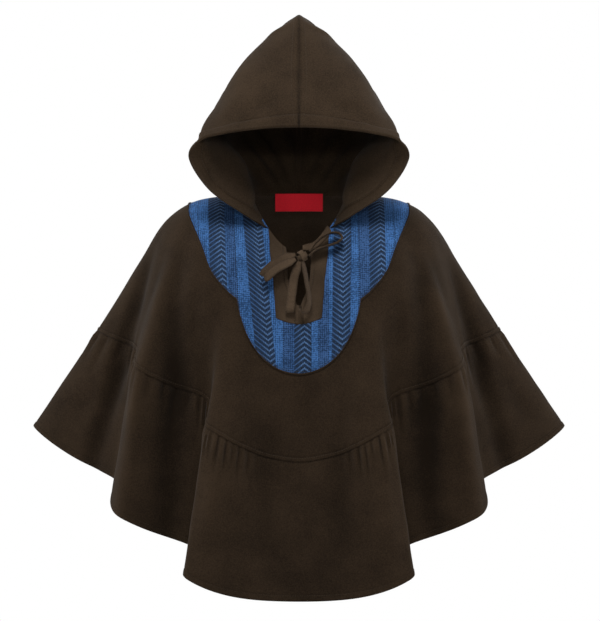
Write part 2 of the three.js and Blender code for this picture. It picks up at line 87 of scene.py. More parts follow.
# The reaches between which the folds open out of the plain fall, and the length over which the
# flounce takes up its own flare
FOLD_FROM = 70
FOLD_TO = 260
HEM_FLARE_BLEND = 60
# The steps in which the cloth is walked down from the neck, and how far it is walked
REACH_STEP = 2
REACH_END = 640
# The front and the back meet at the side seams, and each stops a hair short of them
SIDE_ANGLE = 92
SIDE_GAP = 0.03
HALVES = (("front", -SIDE_ANGLE, SIDE_ANGLE), ("back", SIDE_ANGLE, 360 - SIDE_ANGLE))
# The gap of a seam on the body, the one between the tiers, and the one on each side of the
# hood's back seam
SEAM_GAP = 0.3
TIER_GAP = 0.1
SEAM_CLOSED = 0.02
# Rows of points close to an edge of a panel, by their distance from it, and how far from the
# edge each panel is stitched
PLAIN_EDGE = (0, 1, 2.2, 4)
UPPER_FOOT = (0, 0.6, 1.3, 2.3, 3.6, 5, 6, 6.8, 7.8, 9.5)
UPPER_STITCH = 5
FLOUNCE_TOP = (0, 0.8, 1.8, 3.2, 5)
HEM_FOOT = (0, 0.7, 1.6, 3, 4.6, 6.3, 7.5, 8.6, 10.2)
HEM_STITCH = 7.5
TAPE_STITCH_LENGTH = 1.9
PLACKET_STITCH_LENGTH = 2.0
SLIT_STITCH = 5.0
PLACKET_STITCH = 3.0

# Yoke and placket. The yoke's edge is a round bib in front, and a table of its own from there to
# the shoulder. The placket lies inside the yoke, between its side and the slit.
BIB_REACH = 190
BIB_ANGLE = 34.5
BIB_RISE = 60
BIB_POWER = 3.6
Edge = namedtuple("Edge", "angle reach")
YOKE_SHOULDER = [
    Edge(34.5, 130), Edge(41, 133), Edge(48, 130), Edge(54.5, 116),
    Edge(61, 108), Edge(73, 101), Edge(82, 94), Edge(92, 90),
]
PLACKET_SIDE = [
    Edge(14.5, 116.5), Edge(16.5, 92), Edge(19.5, 64), Edge(22.5, 47),
    Edge(26.5, 30), Edge(31.5, 12), Edge(37.5, 0),
]
SLIT = [
    Edge(15, 0), Edge(12.5, 12), Edge(11, 30), Edge(9.5, 47), Edge(7, 64), Edge(3, 80), Edge(0.3, 95),
    Edge(0.1, 116.5),
]

# Gathers: a trough at each place of the seam, as the frame's flounce has them
GATHER_KEYS_FRONT = [
    0, 14.5, 16.5, 19.5, 22.5, 26.5, 29, 31.5, 33, 34.5, 36, 37.5, 39.5, 41.5, 43.5, 45, 46.5,
    48, 50.5, 54.5, 60, 76, 92,
]
GATHER_KEYS_BACK = [92, 110, 130, 148, 164, 180]
GATHER_WIDEST = 3.6
FLAT_FRONT_ANGLE = 11

# Hood, the half on the right as seen from the front: where its front edge meets the neck seam,
# the cloth's length up from there to the crown, and its width from the rim to the back seam
HOOD_FRONT_ANGLE = 37.5
HOOD_LENGTH = 385
HOOD_WIDTH = 318
Level = namedtuple("Level", "level rim fold side nape seam")
HOOD = [
    Level(0.15, (83, -83, -24), (66, -53, 0), (78, 0, 24), (54, 47, 29), (0, 68, 32)),
    Level(0.3, (130, -102, 9), (75, -50, 26), (90, 2, 54), (63, 54, 63), (0, 78, 68)),
    Level(0.45, (159, -112, 53), (90, -50, 58), (110, 0, 93), (78, 60, 105), (0, 86, 112)),
    Level(0.55, (150, -116, 77), (139, -80, 94), (124, -8, 123), (86, 58, 141), (0, 88, 150)),
    Level(0.7, (106, -122, 90), (125, -76, 118), (111, -16, 158), (79, 48, 184), (0, 80, 197)),
    Level(0.85, (52, -128, 96), (90, -98, 141), (87, -42, 193), (61, 20, 228), (0, 58, 242)),
    Level(0.93, (25, -129.5, 97.5), (48, -107, 144), (51, -64, 199), (33, -4, 256), (0, 38, 272)),
    Level(1, (0, -130, 98), (0, -112, 143), (0, -82, 194), (0, -36, 266), (0, 10, 281)),
]
HOOD_STATIONS = ("rim", "fold", "side", "nape", "seam")
# How far the hood's foot is let into the neck seam
HOOD_SEAM_DEPTH = 1.3
# Past this share of the way to the crown or the back seam, the cloth faces as it does there
HOOD_STEADY = 0.98
# Rows of stitches beside the hood's rim, and beside its back seam and its neck seam
RIM_STITCH = 3.2
BACK_SEAM_STITCH = 4.5
NECK_SEAM_STITCH = 4

# Soft creases, each through three places, with its half width and its depth. A depth above
# nothing stands out of the cloth, and one below it sinks in. The body's first rows are the broad
# troughs and ridges between the folds of the front, from the shoulder to the hem. Then come the
# slighter ones of the upper tier's front, the flounce's front, and the two tiers of the back.
# The creases of the upper tier, the flounce and the hood are also painted into the colour: painted shade in a
# trough, painted light on a ridge.
Crease = namedtuple("Crease", "start middle end width depth")
BODY_CREASES = [
    Crease((-68, 70), (-54, 270), (-52, 460), 20, -11),
    Crease((-53, 250), (-52, 430), (-51, 636), 21, -11),
    Crease((-66, 120), (-60, 290), (-59, 470), 13, 5.2),
    Crease((-59.5, 270), (-58.5, 430), (-58, 636), 14, 5),
    Crease((-83, 120), (-81, 300), (-80.5, 480), 14, -8),
    Crease((-81, 290), (-81, 440), (-81, 636), 15, -9),
    Crease((-37, 105), (-33, 215), (-30, 340), 17, 4.4),
    Crease((-30.5, 190), (-29, 370), (-28.5, 630), 20, 5.8),
    Crease((-9, 230), (-15, 350), (-8, 540), 24, -5.4),
    Crease((67, 75), (55, 265), (52.5, 465), 20, -11.2),
    Crease((53, 250), (52, 435), (51, 636), 21, -10.6),
    Crease((66, 115), (60, 285), (58.5, 475), 14, 5),
    Crease((59, 275), (58.5, 425), (58, 636), 14, 5.2),
    Crease((83, 125), (81.5, 300), (80.5, 475), 14, -8.3),
    Crease((81, 290), (81, 445), (81, 636), 15, -8.7),
    Crease((36.5, 110), (33, 210), (30, 335), 17, 4.6),
    Crease((30, 195), (28.5, 375), (28, 632), 20, 5.6),
    Crease((11, 235), (16, 345), (8, 535), 23, -5.6),
    Crease((-3, 380), (1, 500), (2, 632), 34, -5),
    Crease((36, 140), (34, 200), (31, 300), 11, -2.2),
    Crease((30, 165), (25, 235), (22, 330), 15, 1.6),
    Crease((24, 205), (19, 270), (15, 345), 13, -1.8),
    Crease((14, 215), (11, 290), (10, 380), 17, 1.4),
    Crease((5, 225), (4, 300), (2, 372), 18, -1.6),
    Crease((-8, 240), (-9, 300), (-7, 352), 14, 1.2),
    Crease((-17, 226), (-20, 280), (-23, 330), 12, -1.7),
    Crease((-30, 158), (-33, 215), (-36, 288), 12, -2.0),
    Crease((50, 150), (50, 205), (48, 280), 10, -2.1),
    Crease((57, 130), (60, 205), (61, 300), 15, 1.9),
    Crease((67, 122), (68, 200), (70, 310), 12, -2.2),
    Crease((80, 112), (82, 180), (84, 285), 14, 1.8),
    Crease((87, 102), (89, 165), (90, 250), 9, -1.5),
    Crease((-52, 140), (-51, 200), (-49, 270), 10, -2.2),
    Crease((-62, 126), (-64, 210), (-63, 305), 14, 1.8),
    Crease((-72, 118), (-71, 196), (-73, 300), 13, -2.1),
    Crease((-84, 108), (-83, 178), (-86, 280), 12, 1.6),
    Crease((12, 345), (13, 420), (16, 500), 20, -2.4),
    Crease((24, 350), (27, 430), (30, 505), 16, 2.0),
    Crease((-15, 350), (-14, 425), (-13, 500), 18, -2.2),
    Crease((-26, 345), (-28, 430), (-31, 500), 17, 2.1),
    Crease((4, 400), (2, 450), (1, 505), 22, 1.4),
    Crease((56, 345), (56, 430), (55, 510), 16, -2.0),
    Crease((67, 345), (70, 420), (72, 500), 18, 2.2),
    Crease((84, 345), (85, 420), (86, 490), 16, -2.3),
    Crease((-57, 345), (-58, 425), (-56, 508), 17, -2.0),
    Crease((-69, 348), (-71, 425), (-70, 500), 16, 2.1),
    Crease((-85, 348), (-84, 420), (-87, 492), 18, -2.2),
    Crease((100, 60), (104, 150), (106, 260), 16, -2.2),
    Crease((116, 70), (120, 170), (124, 300), 15, 2.0),
    Crease((138, 50), (140, 160), (142, 320), 17, -2.4),
    Crease((156, 60), (158, 190), (157, 340), 15, 2.1),
    Crease((176, 40), (177, 190), (174, 350), 19, -2.2),
    Crease((197, 55), (196, 170), (199, 330), 16, 2.0),
    Crease((215, 60), (214, 180), (213, 330), 18, -2.3),
    Crease((238, 66), (236, 160), (233, 300), 15, 2.1),
    Crease((258, 60), (256, 150), (253, 270), 15, -2.0),
    Crease((103, 360), (104, 430), (102, 510), 17, 2.2),
    Crease((121, 380), (122, 450), (124, 530), 18, -2.3),
    Crease((141, 395), (140, 470), (142, 545), 16, 2.0),
    Crease((160, 410), (158, 490), (157, 570), 18, -2.3),
    Crease((183, 420), (185, 500), (184, 585), 20, 2.1),
    Crease((205, 410), (204, 490), (207, 570), 16, -2.2),
    Crease((226, 395), (224, 470), (223, 548), 18, 2.2),
    Crease((247, 375), (249, 450), (251, 525), 16, -2.1),
]
# Places of the hood's creases run on past the back seam: a share above 1 is on the left half
HOOD_CREASES = [
    Crease((0.36, 0.09), (0.48, 0.085), (0.6, 0.1), 15, -6),
    Crease((0.37, 1.91), (0.49, 1.915), (0.6, 1.9), 15, -6.2),
    Crease((0.999, 0.745), (0.935, 0.712), (0.865, 0.735), 6, 1.9),
    Crease((0.999, 0.83), (0.95, 0.785), (0.88, 0.8), 6.5, -2.2),
    Crease((0.999, 1.25), (0.94, 1.284), (0.875, 1.262), 6, 1.7),
    Crease((0.999, 1.17), (0.95, 1.212), (0.885, 1.2), 6.5, -2.0),
    Crease((0.62, 0.4), (0.68, 0.5), (0.76, 0.56), 8, 3.0),
    Crease((0.6, 1.58), (0.67, 1.5), (0.76, 1.45), 8, 2.8),
    Crease((0.08, 0.93), (0.3, 0.86), (0.56, 0.76), 9, -6.4),
    Crease((0.06, 0.86), (0.24, 0.77), (0.44, 0.64), 8, -5.2),
    Crease((0.1, 0.975), (0.36, 0.955), (0.62, 0.93), 7, -4.6),
    Crease((0.08, 1.07), (0.3, 1.15), (0.56, 1.25), 9, -6.0),
    Crease((0.06, 1.13), (0.24, 1.22), (0.44, 1.34), 8, -5.4),
    Crease((0.1, 1.03), (0.36, 1.05), (0.62, 1.075), 7, -4.4),
    Crease((0.14, 0.72), (0.3, 0.6), (0.46, 0.47), 11, 4.2),
    Crease((0.14, 1.27), (0.3, 1.39), (0.46, 1.52), 11, 4.0),
    Crease((0.2, 0.18), (0.32, 0.2), (0.46, 0.17), 10, -2.6),
    Crease((0.2, 1.82), (0.32, 1.8), (0.46, 1.84), 10, -2.4),
    Crease((0.7, 0.12), (0.8, 0.2), (0.93, 0.3), 16, 2.2),
    Crease((0.7, 1.88), (0.79, 1.79), (0.92, 1.69), 15, 2.0),
    Crease((0.84, 0.1), (0.9, 0.17), (0.97, 0.24), 12, -1.8),
    Crease((0.84, 1.9), (0.91, 1.82), (0.97, 1.75), 12, -1.9),
    Crease((0.7, 0.72), (0.8, 0.76), (0.9, 0.82), 14, -2.6),
    Crease((0.7, 1.27), (0.8, 1.23), (0.9, 1.17), 14, -2.4),
]

# Bow: each strand with its route and the direction of its width. Near the knot a strand is
# pinched to a share of its width.
STRAND_WIDTH = 13
STRAND_THICK = 2.2
PINCH = 0.5
PINCH_LENGTH = 14
KNOT_CENTRE = (4.4, -92, -86.6)
KNOT_RADII = (9, 7, 8)
Strand = namedtuple("Strand", "name across both_ends far_end route")
STRANDS = [
    Strand("tie_loop_left", (0.65, -0.1, -0.76), True, "object", [
        (-5.5, -94, -84.7), (-20, -101, -89), (-35, -109, -98), (-46, -117, -108),
        (-51, -121, -115), (-48, -125, -118), (-35, -119, -107), (-20, -110, -98.5), (-5.5, -99, -91.5),
    ]),
    Strand("tie_loop_right", (0, -1, 0.1), True, "object", [
        (14.1, -93, -86), (26, -91, -77), (42, -92, -71.5), (56, -94, -66.5), (62.5, -92, -60),
        (58, -88, -53.5), (48, -86, -52.5), (36, -86, -57.5), (25, -88, -66.5), (15.5, -92, -79.5),
    ]),
    Strand("tie_tail_left", (1, 0, 0.1), False, "bare", [
        (1.2, -93.4, -94.6), (-5.8, -103, -114), (-9.4, -114, -136), (-11.6, -124, -155),
        (-12.6, -128.5, -163.5), (-13, -126.5, -168), (-13, -123, -165),
    ]),
    Strand("tie_tail_right", (-0.5, -0.8, 0.3), False, "bare", [
        (6.2, -93.8, -94.9), (9, -107, -112), (12, -118, -130), (14.5, -126, -146),
        (14, -131, -159), (8.5, -133, -167.5), (2, -132, -166), (0.5, -130, -159),
    ]),
]
# The knot's wraps, each with the direction that it winds round
Wrap = namedtuple("Wrap", "winds_round size width")
KNOT_WRAPS = [
    Wrap((0.85, 0.25, 0.5), 0.9, 8.5), Wrap((0.5, 0.1, -0.9), 0.8, 7.5), Wrap((1, -0.15, -0.25), 0.76, 9.0),
]
# The strap's two ends round the neck, and its rise to the knot
STRAP_FROM = 5
STRAP_TO = 37
STRAP_HALF_WIDTH = 6.0
STRAP_RISE = 9
STRAP_RISE_ANGLE = 20

# Label inside the back neck
LABEL_WIDTH = 75
LABEL_DROP = 26
LABEL_LEAN = 14
LABEL_CLEAR = 2.7

# Stripes of the yoke, each with its middle at the throat, how far it leans in for each
# millimetre down, its width, where across it the chevrons' points lie, and which way they point
Stripe = namedtuple("Stripe", "name middle lean width point upward")
STRIPES = [
    Stripe("outer left", -120, 0.06, 24, 0.74, True),
    Stripe("inner left", -66.7, 0.104, 27.5, 0.72, False),
    Stripe("middle", 5.4, 0, 25, 0.6, True),
    Stripe("inner right", 63.4, -0.02, 26, 0.58, False),
    Stripe("outer right", 113.8, 0, 24, 0.72, True),
]
# Darker bands and dashed lines beside the stripes
Band = namedtuple("Band", "name low high lean")
DEEP_BANDS = [
    Band("left", -107.5, -94, 0.07), Band("foot left", -22.5, -7.5, 0),
    Band("foot right", 29, 43.5, 0), Band("right", 87, 101.5, 0),
]
Dashes = namedtuple("Dashes", "name middle lean")
DASHED_LINES = [
    Dashes("far left", -147, 0.06), Dashes("left", -94.5, 0.07), Dashes("foot left", -22.5, 0),
    Dashes("foot right", 28.6, 0), Dashes("right", 87, 0), Dashes("far right", 139, 0),
]
THROAT_HEIGHT = -49
CHEVRON_PITCH = 7.7
CHEVRON_SLOPE = 0.8
CHEVRON_SHARE = 0.73
DIAMOND_LENGTH = 6.1

# Stage, in metres. A light's power is a setting of the stage.
Light = namedtuple("Light", "kind name place target power settings")
LIGHTS = [
    Light("AREA", "key_light", (-0.2, -1.5, 2.6), (0, -0.05, -0.1), "key_power", {"size": 1.5}),
    Light("AREA", "left_light", (-2.5, -0.12, 0.35), (0, 0, -0.25), "side_power", {"size": 2.2}),
    Light("AREA", "right_light", (2.5, -0.12, 0.35), (0, 0, -0.25), "side_power", {"size": 2.2}),
    Light("AREA", "front_light", (0.1, -3.3, 0.35), (0, 0, -0.1), "front_power", {"size": 0.7}),
    Light("SPOT", "hood_light", (0.05, -3.3, 0.42), (0, 0.05, 0.01), "hood_power",
          {"spot_size": math.radians(6.6), "spot_blend": 1.0, "shadow_soft_size": 0.2}),
    Light("AREA", "back_light", (0.4, 2.6, 1.6), (0, 0, -0.1), "back_power", {"size": 1.8}),
]
FLOOR_RADIUS = 4.4
FLOOR_GLOW = 0.22
SURROUND_RADIUS = 14


def ramp(low, high, value):
    """0 below low, 1 above high, and a smooth rise between."""
    share = np.clip((value - low) / (high - low), 0, 1)
    return share * share * (3 - 2 * share)


def bump(value, width):
    """1 at nothing, fading to both sides of it over about the width."""
    return np.exp(-((value / width) ** 2))


def curve_at(xs, ys, x):
    """A smooth curve through rows sorted by x, read at each x. A row may be a number or a point."""
    xs, ys, x = np.asarray(xs, float), np.asarray(ys, float), np.asarray(x, float)
    last = len(xs) - 1
    low, high = np.maximum(np.arange(last + 1) - 1, 0), np.minimum(np.arange(last + 1) + 1, last)
    wide = (slice(None),) + (None,) * (ys.ndim - 1)
    slopes = (ys[high] - ys[low]) / (xs[high] - xs[low])[wide]
    i = np.clip(np.searchsorted(xs, x, side="left") - 1, 0, last - 1)
    span = xs[i + 1] - xs[i]
    t = np.clip((x - xs[i]) / span, 0, 1)
    deep = (1,) * (ys.ndim - 1)
    t, span = t.reshape(t.shape + deep), span.reshape(span.shape + deep)
    rise = t * t * (3 - 2 * t)
    leave, arrive = t * (1 - t) ** 2 * span * slopes[i], t * t * (t - 1) * span * slopes[i + 1]
    return ys[i] + (ys[i + 1] - ys[i]) * rise + leave + arrive


def cumulative(points):
    """Length along a line of points, from 0 at the first."""
    steps = np.linalg.norm(np.diff(points, axis=0), axis=1)
    return np.concatenate([[0], np.cumsum(steps)])


def read_line(at, along, values):
    """A line's points or normals, read at lengths along it."""
    return np.stack([np.interp(at, along, values[:, k]) for k in range(3)], axis=1)


def unit(vectors):
    return vectors / np.maximum(np.linalg.norm(vectors, axis=-1, keepdims=True), 1e-12)


def spread(keys, widest):
    """Numbers from low to high through every key, with no step over the widest."""
    values = [keys[0]]
    for low, high in zip(keys, keys[1:]):
        parts = math.ceil((high - low) / widest - 1e-6)
        values += [low + (high - low) * k / parts for k in range(1, parts + 1)]
    return np.array(values)


def wrapped(angles):
    """Angles past 180 are on the other side."""
    return np.where(np.asarray(angles) > 180, np.asarray(angles) - 360, angles)


def fold_value(angles, column):
    """A column of the folds' table at each angle, eased from ridge to valley."""
    turned = np.abs(wrapped(angles))
    at = np.array([fold.angle for fold in FOLDS], float)
    values = np.array([column(fold) for fold in FOLDS], float)
    i = np.clip(np.searchsorted(at, turned, side="left") - 1, 0, len(FOLDS) - 2)
    share = (turned - at[i]) / (at[i + 1] - at[i])
    ease = 0.5 - 0.5 * np.cos(np.pi * share)
    return values[i] + (values[i + 1] - values[i]) * ease


def fall_value(angles, column):
    """A column of the fall's rows, blended round the neck from front to side to back."""
    forward = np.cos(np.radians(wrapped(angles)))
    end = np.where(forward > 0, getattr(FRONT_FALL, column), getattr(BACK_FALL, column))
    side = getattr(SIDE_FALL, column)
    return side + (end - side) * forward**2


def upper_end(angles):
    """The reach of the seam between the tiers."""
    return fold_value(angles, lambda fold: fold.upper)


def hem_end(angles):
    """The reach of the hem."""
    return fold_value(angles, lambda fold: fold.upper + fold.flounce)


def neck_points(angles):
    """Points of the neck seam, an oval that dips in front."""
    angles = np.radians(wrapped(angles))
    forward = np.cos(angles)
    front = forward > 0
    dip = NECK_DIP * np.where(front, forward, 0) ** NECK_DIP_POWER
    rise = (NECK_BACK_HEIGHT - NECK_SIDE_HEIGHT) * forward**2
    x = NECK_HALF_WIDTH * np.sin(angles)
    y = -np.where(front, NECK_FRONT, NECK_BACK) * forward
    z = NECK_SIDE_HEIGHT + np.where(front, -dip, rise)
    return np.stack([x, y, z], axis=-1)


def walk(angles):
    """Points down the cloth from the neck seam, one row for each REACH_STEP of its length."""
    side = np.where(wrapped(angles) < 0, -1, 1)
    turned = np.abs(wrapped(angles))
    turn = fold_value(turned, lambda fold: fold.heading - fold.angle)
    here = (np.arange(0, REACH_END, REACH_STEP) + REACH_STEP / 2)[:, None]
    bend = ramp(fall_value(turned, "bend_from"), fall_value(turned, "bend_to"), here)
    folded = ramp(FOLD_FROM, FOLD_TO, here)
    upper = upper_end(turned)
    hung = ramp(upper - HEM_FLARE_BLEND / 2, upper + HEM_FLARE_BLEND / 2, here)
    plain = fall_value(turned, "flare")
    upper_flare = plain + (fold_value(turned, lambda fold: fold.flare) - plain) * folded
    flare = upper_flare + (fold_value(turned, lambda fold: fold.hem_flare) - upper_flare) * hung
    slope = fall_value(turned, "slope")
    fall = np.radians(slope + (90 - flare - slope) * bend)
    heading = np.radians(turned + turn * bend)
    steps = np.stack([
        side * np.sin(heading) * np.cos(fall), -np.cos(heading) * np.cos(fall), -np.sin(fall),
    ], axis=-1) * REACH_STEP
    start = neck_points(wrapped(angles))[None]
    return np.concatenate([start, start + np.cumsum(steps, axis=0)])


def read_rows(table, reach):
    """A table with a row for each REACH_STEP and a column for each angle, read at each reach."""
    place = reach / REACH_STEP
    i = np.clip(np.floor(place).astype(int), 0, len(table) - 2)
    t = (place - i).reshape(reach.shape + (1,) * (table.ndim - 2))
    columns = np.broadcast_to(np.arange(table.shape[1]), reach.shape)
    return table[i, columns] * (1 - t) + table[i + 1, columns] * t


def body_points(angles, reach):
    """Points of the body for a grid: one angle for each column, one reach for each point."""
    return read_rows(walk(angles), reach)


def line_on_body(angles, reach):
    """A line of points on the body, with an angle and a reach for each."""
    return body_points(np.asarray(angles, float), np.asarray(reach, float)[None])[0]


def even_angles(low, high, reach_at, spacing):
    """Angles whose columns stand evenly along a line round the body."""
    fine = np.linspace(low, high, 1600)
    along = cumulative(line_on_body(fine, reach_at(fine)))
    count = max(8, round(along[-1] / spacing))
    return np.interp(np.linspace(0, along[-1], count + 1), along, fine)


def rows_between(start, end, first, last, spacing):
    """A reach for each row and column: fine rows near both ends, and even rows between."""
    middle = np.max(end - start) - first[-1] - last[-1]
    shares = np.linspace(0, 1, max(3, round(middle / spacing)) + 1)[1:-1, None]
    top = start[None] + np.array(first)[:, None]
    foot = end[None] - np.array(last)[::-1, None]
    return np.concatenate([top, top[-1:] * (1 - shares) + foot[:1] * shares, foot])


def grid_normals(points, turn=1):
    """The way out of the cloth at each point of a grid."""
    down, across = np.gradient(points, axis=0), np.gradient(points, axis=1)
    return turn * unit(np.cross(down, across))


def crease_field(points, line, width, depth):
    """How far each point moves for one crease, which fades to nothing at both ends."""
    field = np.zeros(points.shape[:-1])
    low, high = line.min(0) - 2.6 * width, line.max(0) + 2.6 * width
    near = ((points > low) & (points < high)).all(-1)
    places = points[near]
    if not len(places):
        return field
    best, share = np.full(len(places), np.inf), np.zeros(len(places))
    for k, (a, b) in enumerate(zip(line, line[1:])):
        step = b - a
        t = np.clip(((places - a) @ step) / (step @ step), 0, 1)
        away = ((places - a - t[:, None] * step) ** 2).sum(1)
        closer = away < best
        best[closer], share[closer] = away[closer], (k + t[closer]) / (len(line) - 1)
    uneven = 1 + 0.22 * np.sin(9.4 * share + depth * 5)
    taper = ramp(0, 0.4, share) * (1 - ramp(0.55, 1, share))
    field[near] = depth * uneven * taper * np.exp(-best / width**2)
    return field


def creased(points, creases, place, strength):
    """All the creases' movement, where place turns a crease's two numbers into a point."""
    field = np.zeros(points.shape[:-1])
    for crease in creases:
        route = np.array([crease.start, crease.middle, crease.end])
        steps = curve_at([0, 0.5, 1], route, np.linspace(0, 1, 13))
        field += crease_field(points, place(steps), crease.width, crease.depth * strength)
    return field


def body_place(steps):
    return line_on_body(steps[:, 0], steps[:, 1])


def ripple(points, size, height):
    """A faint unevenness that no cloth is without, from crossed waves."""
    x, y, z = points[..., 0] / size, points[..., 1] / size, points[..., 2] / size
    waves = np.sin(x * 2.1 + 1.3 * np.sin(z * 1.7)) + np.sin(z * 2.7 + 1.1 * np.sin(y * 2.3 + x))
    return height * 0.5 * (waves + 0.6 * np.sin(4.3 * x - 3.1 * z + 2 * y))


# A panel's depth is painted shade and light in its colour: darker below nothing, paler above it.
Sewn = namedtuple("Sewn", "outer inner normals across along depth")


def sewn(outer, normals, thick, depth=0.0):
    """A panel's two skins, with how far across and along its cut each point lies, and the painted
    shade and light that its colour shows there as a depth: darker below nothing, paler above it."""
    thick = np.broadcast_to(thick, outer.shape[:-1])[..., None]
    down = np.linalg.norm(np.diff(outer, axis=0), axis=-1)
    along = np.concatenate([np.zeros((1, outer.shape[1])), np.cumsum(down, axis=0)])
    aside = np.linalg.norm(np.diff(outer, axis=1), axis=-1)
    across = np.concatenate([np.zeros((outer.shape[0], 1)), np.cumsum(aside, axis=1)], axis=1)
    return Sewn(outer, outer - normals * thick, normals, across, along, depth + 0 * along)


def rim_loop(rows, columns):
    """Row and column numbers once round the edge of a grid."""
    aside, down = list(range(columns)), list(range(1, rows - 1))
    r = [0] * columns + down + [rows - 1] * columns + down[::-1]
    c = aside + [columns - 1] * len(down) + aside[::-1] + [0] * len(down)
    return np.array(r), np.array(c)


def shell(outer, inner, turn=1, roundness=0.32):
    """Points and faces of a closed wall between two grids, with a rounded rim."""
    rows, columns = outer.shape[:2]
    count = rows * columns
    r, c = rim_loop(rows, columns)
    middle = (outer + inner) / 2
    inward_r, inward_c = np.clip(r, 1, rows - 2), np.clip(c, 1, columns - 2)
    thick = np.linalg.norm(outer[r, c] - inner[r, c], axis=-1, keepdims=True)
    rim = middle[r, c] + unit(middle[r, c] - middle[inward_r, inward_c]) * thick * roundness
    points = np.concatenate([outer.reshape(-1, 3), inner.reshape(-1, 3), rim])
    at = np.arange(count).reshape(rows, columns)
    a, b, d, e = at[:-1, :-1].ravel(), at[1:, :-1].ravel(), at[1:, 1:].ravel(), at[:-1, 1:].ravel()
    skin = np.stack([a, b, d, e], axis=1)
    loop = r * columns + c
    after = np.roll(loop, -1)
    edge = 2 * count + np.arange(len(loop))
    edge_after = np.roll(edge, -1)
    faces = np.concatenate([
        skin, skin[:, ::-1] + count,
        np.stack([loop, after, edge_after, edge], axis=1),
        np.stack([edge, edge_after, after + count, loop + count], axis=1),
    ])
    return points, faces if turn > 0 else faces[:, ::-1]


def add_mesh(name, points, faces, material, cloth=None):
    """A mesh object from points in millimetres, smooth but for its rims. Cloth holds the place
    of each point across and along its cut, and the painted shade and light that its colour shows as a depth,
    in metres."""
    mesh = bpy.data.meshes.new(name)
    mesh.vertices.add(len(points))
    mesh.vertices.foreach_set("co", (np.asarray(points) * MM).astype(np.float32).ravel())
    corners = np.concatenate([np.asarray(f).ravel() for f in faces])
    sizes = np.concatenate([np.full(len(f), f.shape[1]) for f in faces])
    mesh.loops.add(len(corners))
    mesh.loops.foreach_set("vertex_index", corners.astype(np.int32))
    mesh.polygons.add(len(sizes))
    starts = np.concatenate([[0], np.cumsum(sizes)[:-1]])
    mesh.polygons.foreach_set("loop_start", starts.astype(np.int32))
    mesh.polygons.foreach_set("use_smooth", np.ones(len(sizes), bool))
    mesh.update(calc_edges=True)
    if mesh.validate():
        raise RuntimeError(f"{name} has faces that are not sound")
    mesh.set_sharp_from_angle(angle=math.radians(55))
    if cloth is not None:
        place = mesh.attributes.new("cloth", "FLOAT_VECTOR", "POINT")
        place.data.foreach_set("vector", cloth.astype(np.float32).ravel())
        layer = mesh.uv_layers.new(name="cut")
        layer.data.foreach_set("uv", cloth[corners, :2].astype(np.float32).ravel())
    mesh.materials.append(material)
    piece = bpy.data.objects.new(name, mesh)
    bpy.context.scene.collection.objects.link(piece)
    return piece


def finish_piece(piece, node=""):
    """Sets a piece on the body, in place of the frame's node if one is named."""
    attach(piece, BODY)
    if node:
        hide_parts(node)
    return piece


def cloth_piece(name, panel, material, node, turn=1, mirror=False, cut=None):
    """A closed wall of cloth on a grid, which stands for a node of the frame."""
    outer, inner = panel.outer, panel.inner
    if mirror:
        outer, inner, turn = outer * (-1, 1, 1), inner * (-1, 1, 1), -turn
    points, faces = shell(outer, inner, turn)
    r, c = rim_loop(*outer.shape[:2])
    if cut is None:
        cut = np.stack([panel.across, panel.along, panel.depth], axis=-1)
    cloth = np.concatenate([cut.reshape(-1, 3), cut.reshape(-1, 3), cut[r, c]]) * MM
    return finish_piece(add_mesh(name, points, [faces], material, cloth), node)


def smooth_line(route, spacing):
    """Evenly spaced points on a centripetal curve through a route's points."""
    route = np.array(route, float)
    p = np.vstack([2 * route[0] - route[1], route, 2 * route[-1] - route[-2]])
    fine = []
    for p0, p1, p2, p3 in zip(p, p[1:], p[2:], p[3:]):
        t1 = math.dist(p0, p1) ** 0.5
        t2 = t1 + math.dist(p1, p2) ** 0.5
        t3 = t2 + math.dist(p2, p3) ** 0.5
        t = np.linspace(t1, t2, 40, endpoint=False)[:, None]
        a1 = (t1 - t) / t1 * p0 + t / t1 * p1
        a2 = (t2 - t) / (t2 - t1) * p1 + (t - t1) / (t2 - t1) * p2
        a3 = (t3 - t) / (t3 - t2) * p2 + (t - t2) / (t3 - t2) * p3
        b1 = (t2 - t) / t2 * a1 + t / t2 * a2
        b2 = (t3 - t) / (t3 - t1) * a2 + (t - t1) / (t3 - t1) * a3
        fine.append((t2 - t) / (t2 - t1) * b1 + (t - t1) / (t2 - t1) * b2)
    fine = np.vstack([*fine, route[-1:]])
    along = cumulative(fine)
    return read_line(np.linspace(0, along[-1], max(4, round(along[-1] / spacing)) + 1), along, fine)


def tape_section(sides=20, edge=0.75):
    """Section of a folded tape, flat with rounded edges, as shares of its width and thickness."""
    turn = np.linspace(0, 2 * np.pi, sides, endpoint=False)
    wide = np.sign(np.cos(turn)) * np.abs(np.cos(turn)) ** edge / 2
    deep = np.sign(np.sin(turn)) * np.abs(np.sin(turn)) ** 0.45 / 2
    return wide, deep * (1 - 0.22 * bump(wide, 0.2))


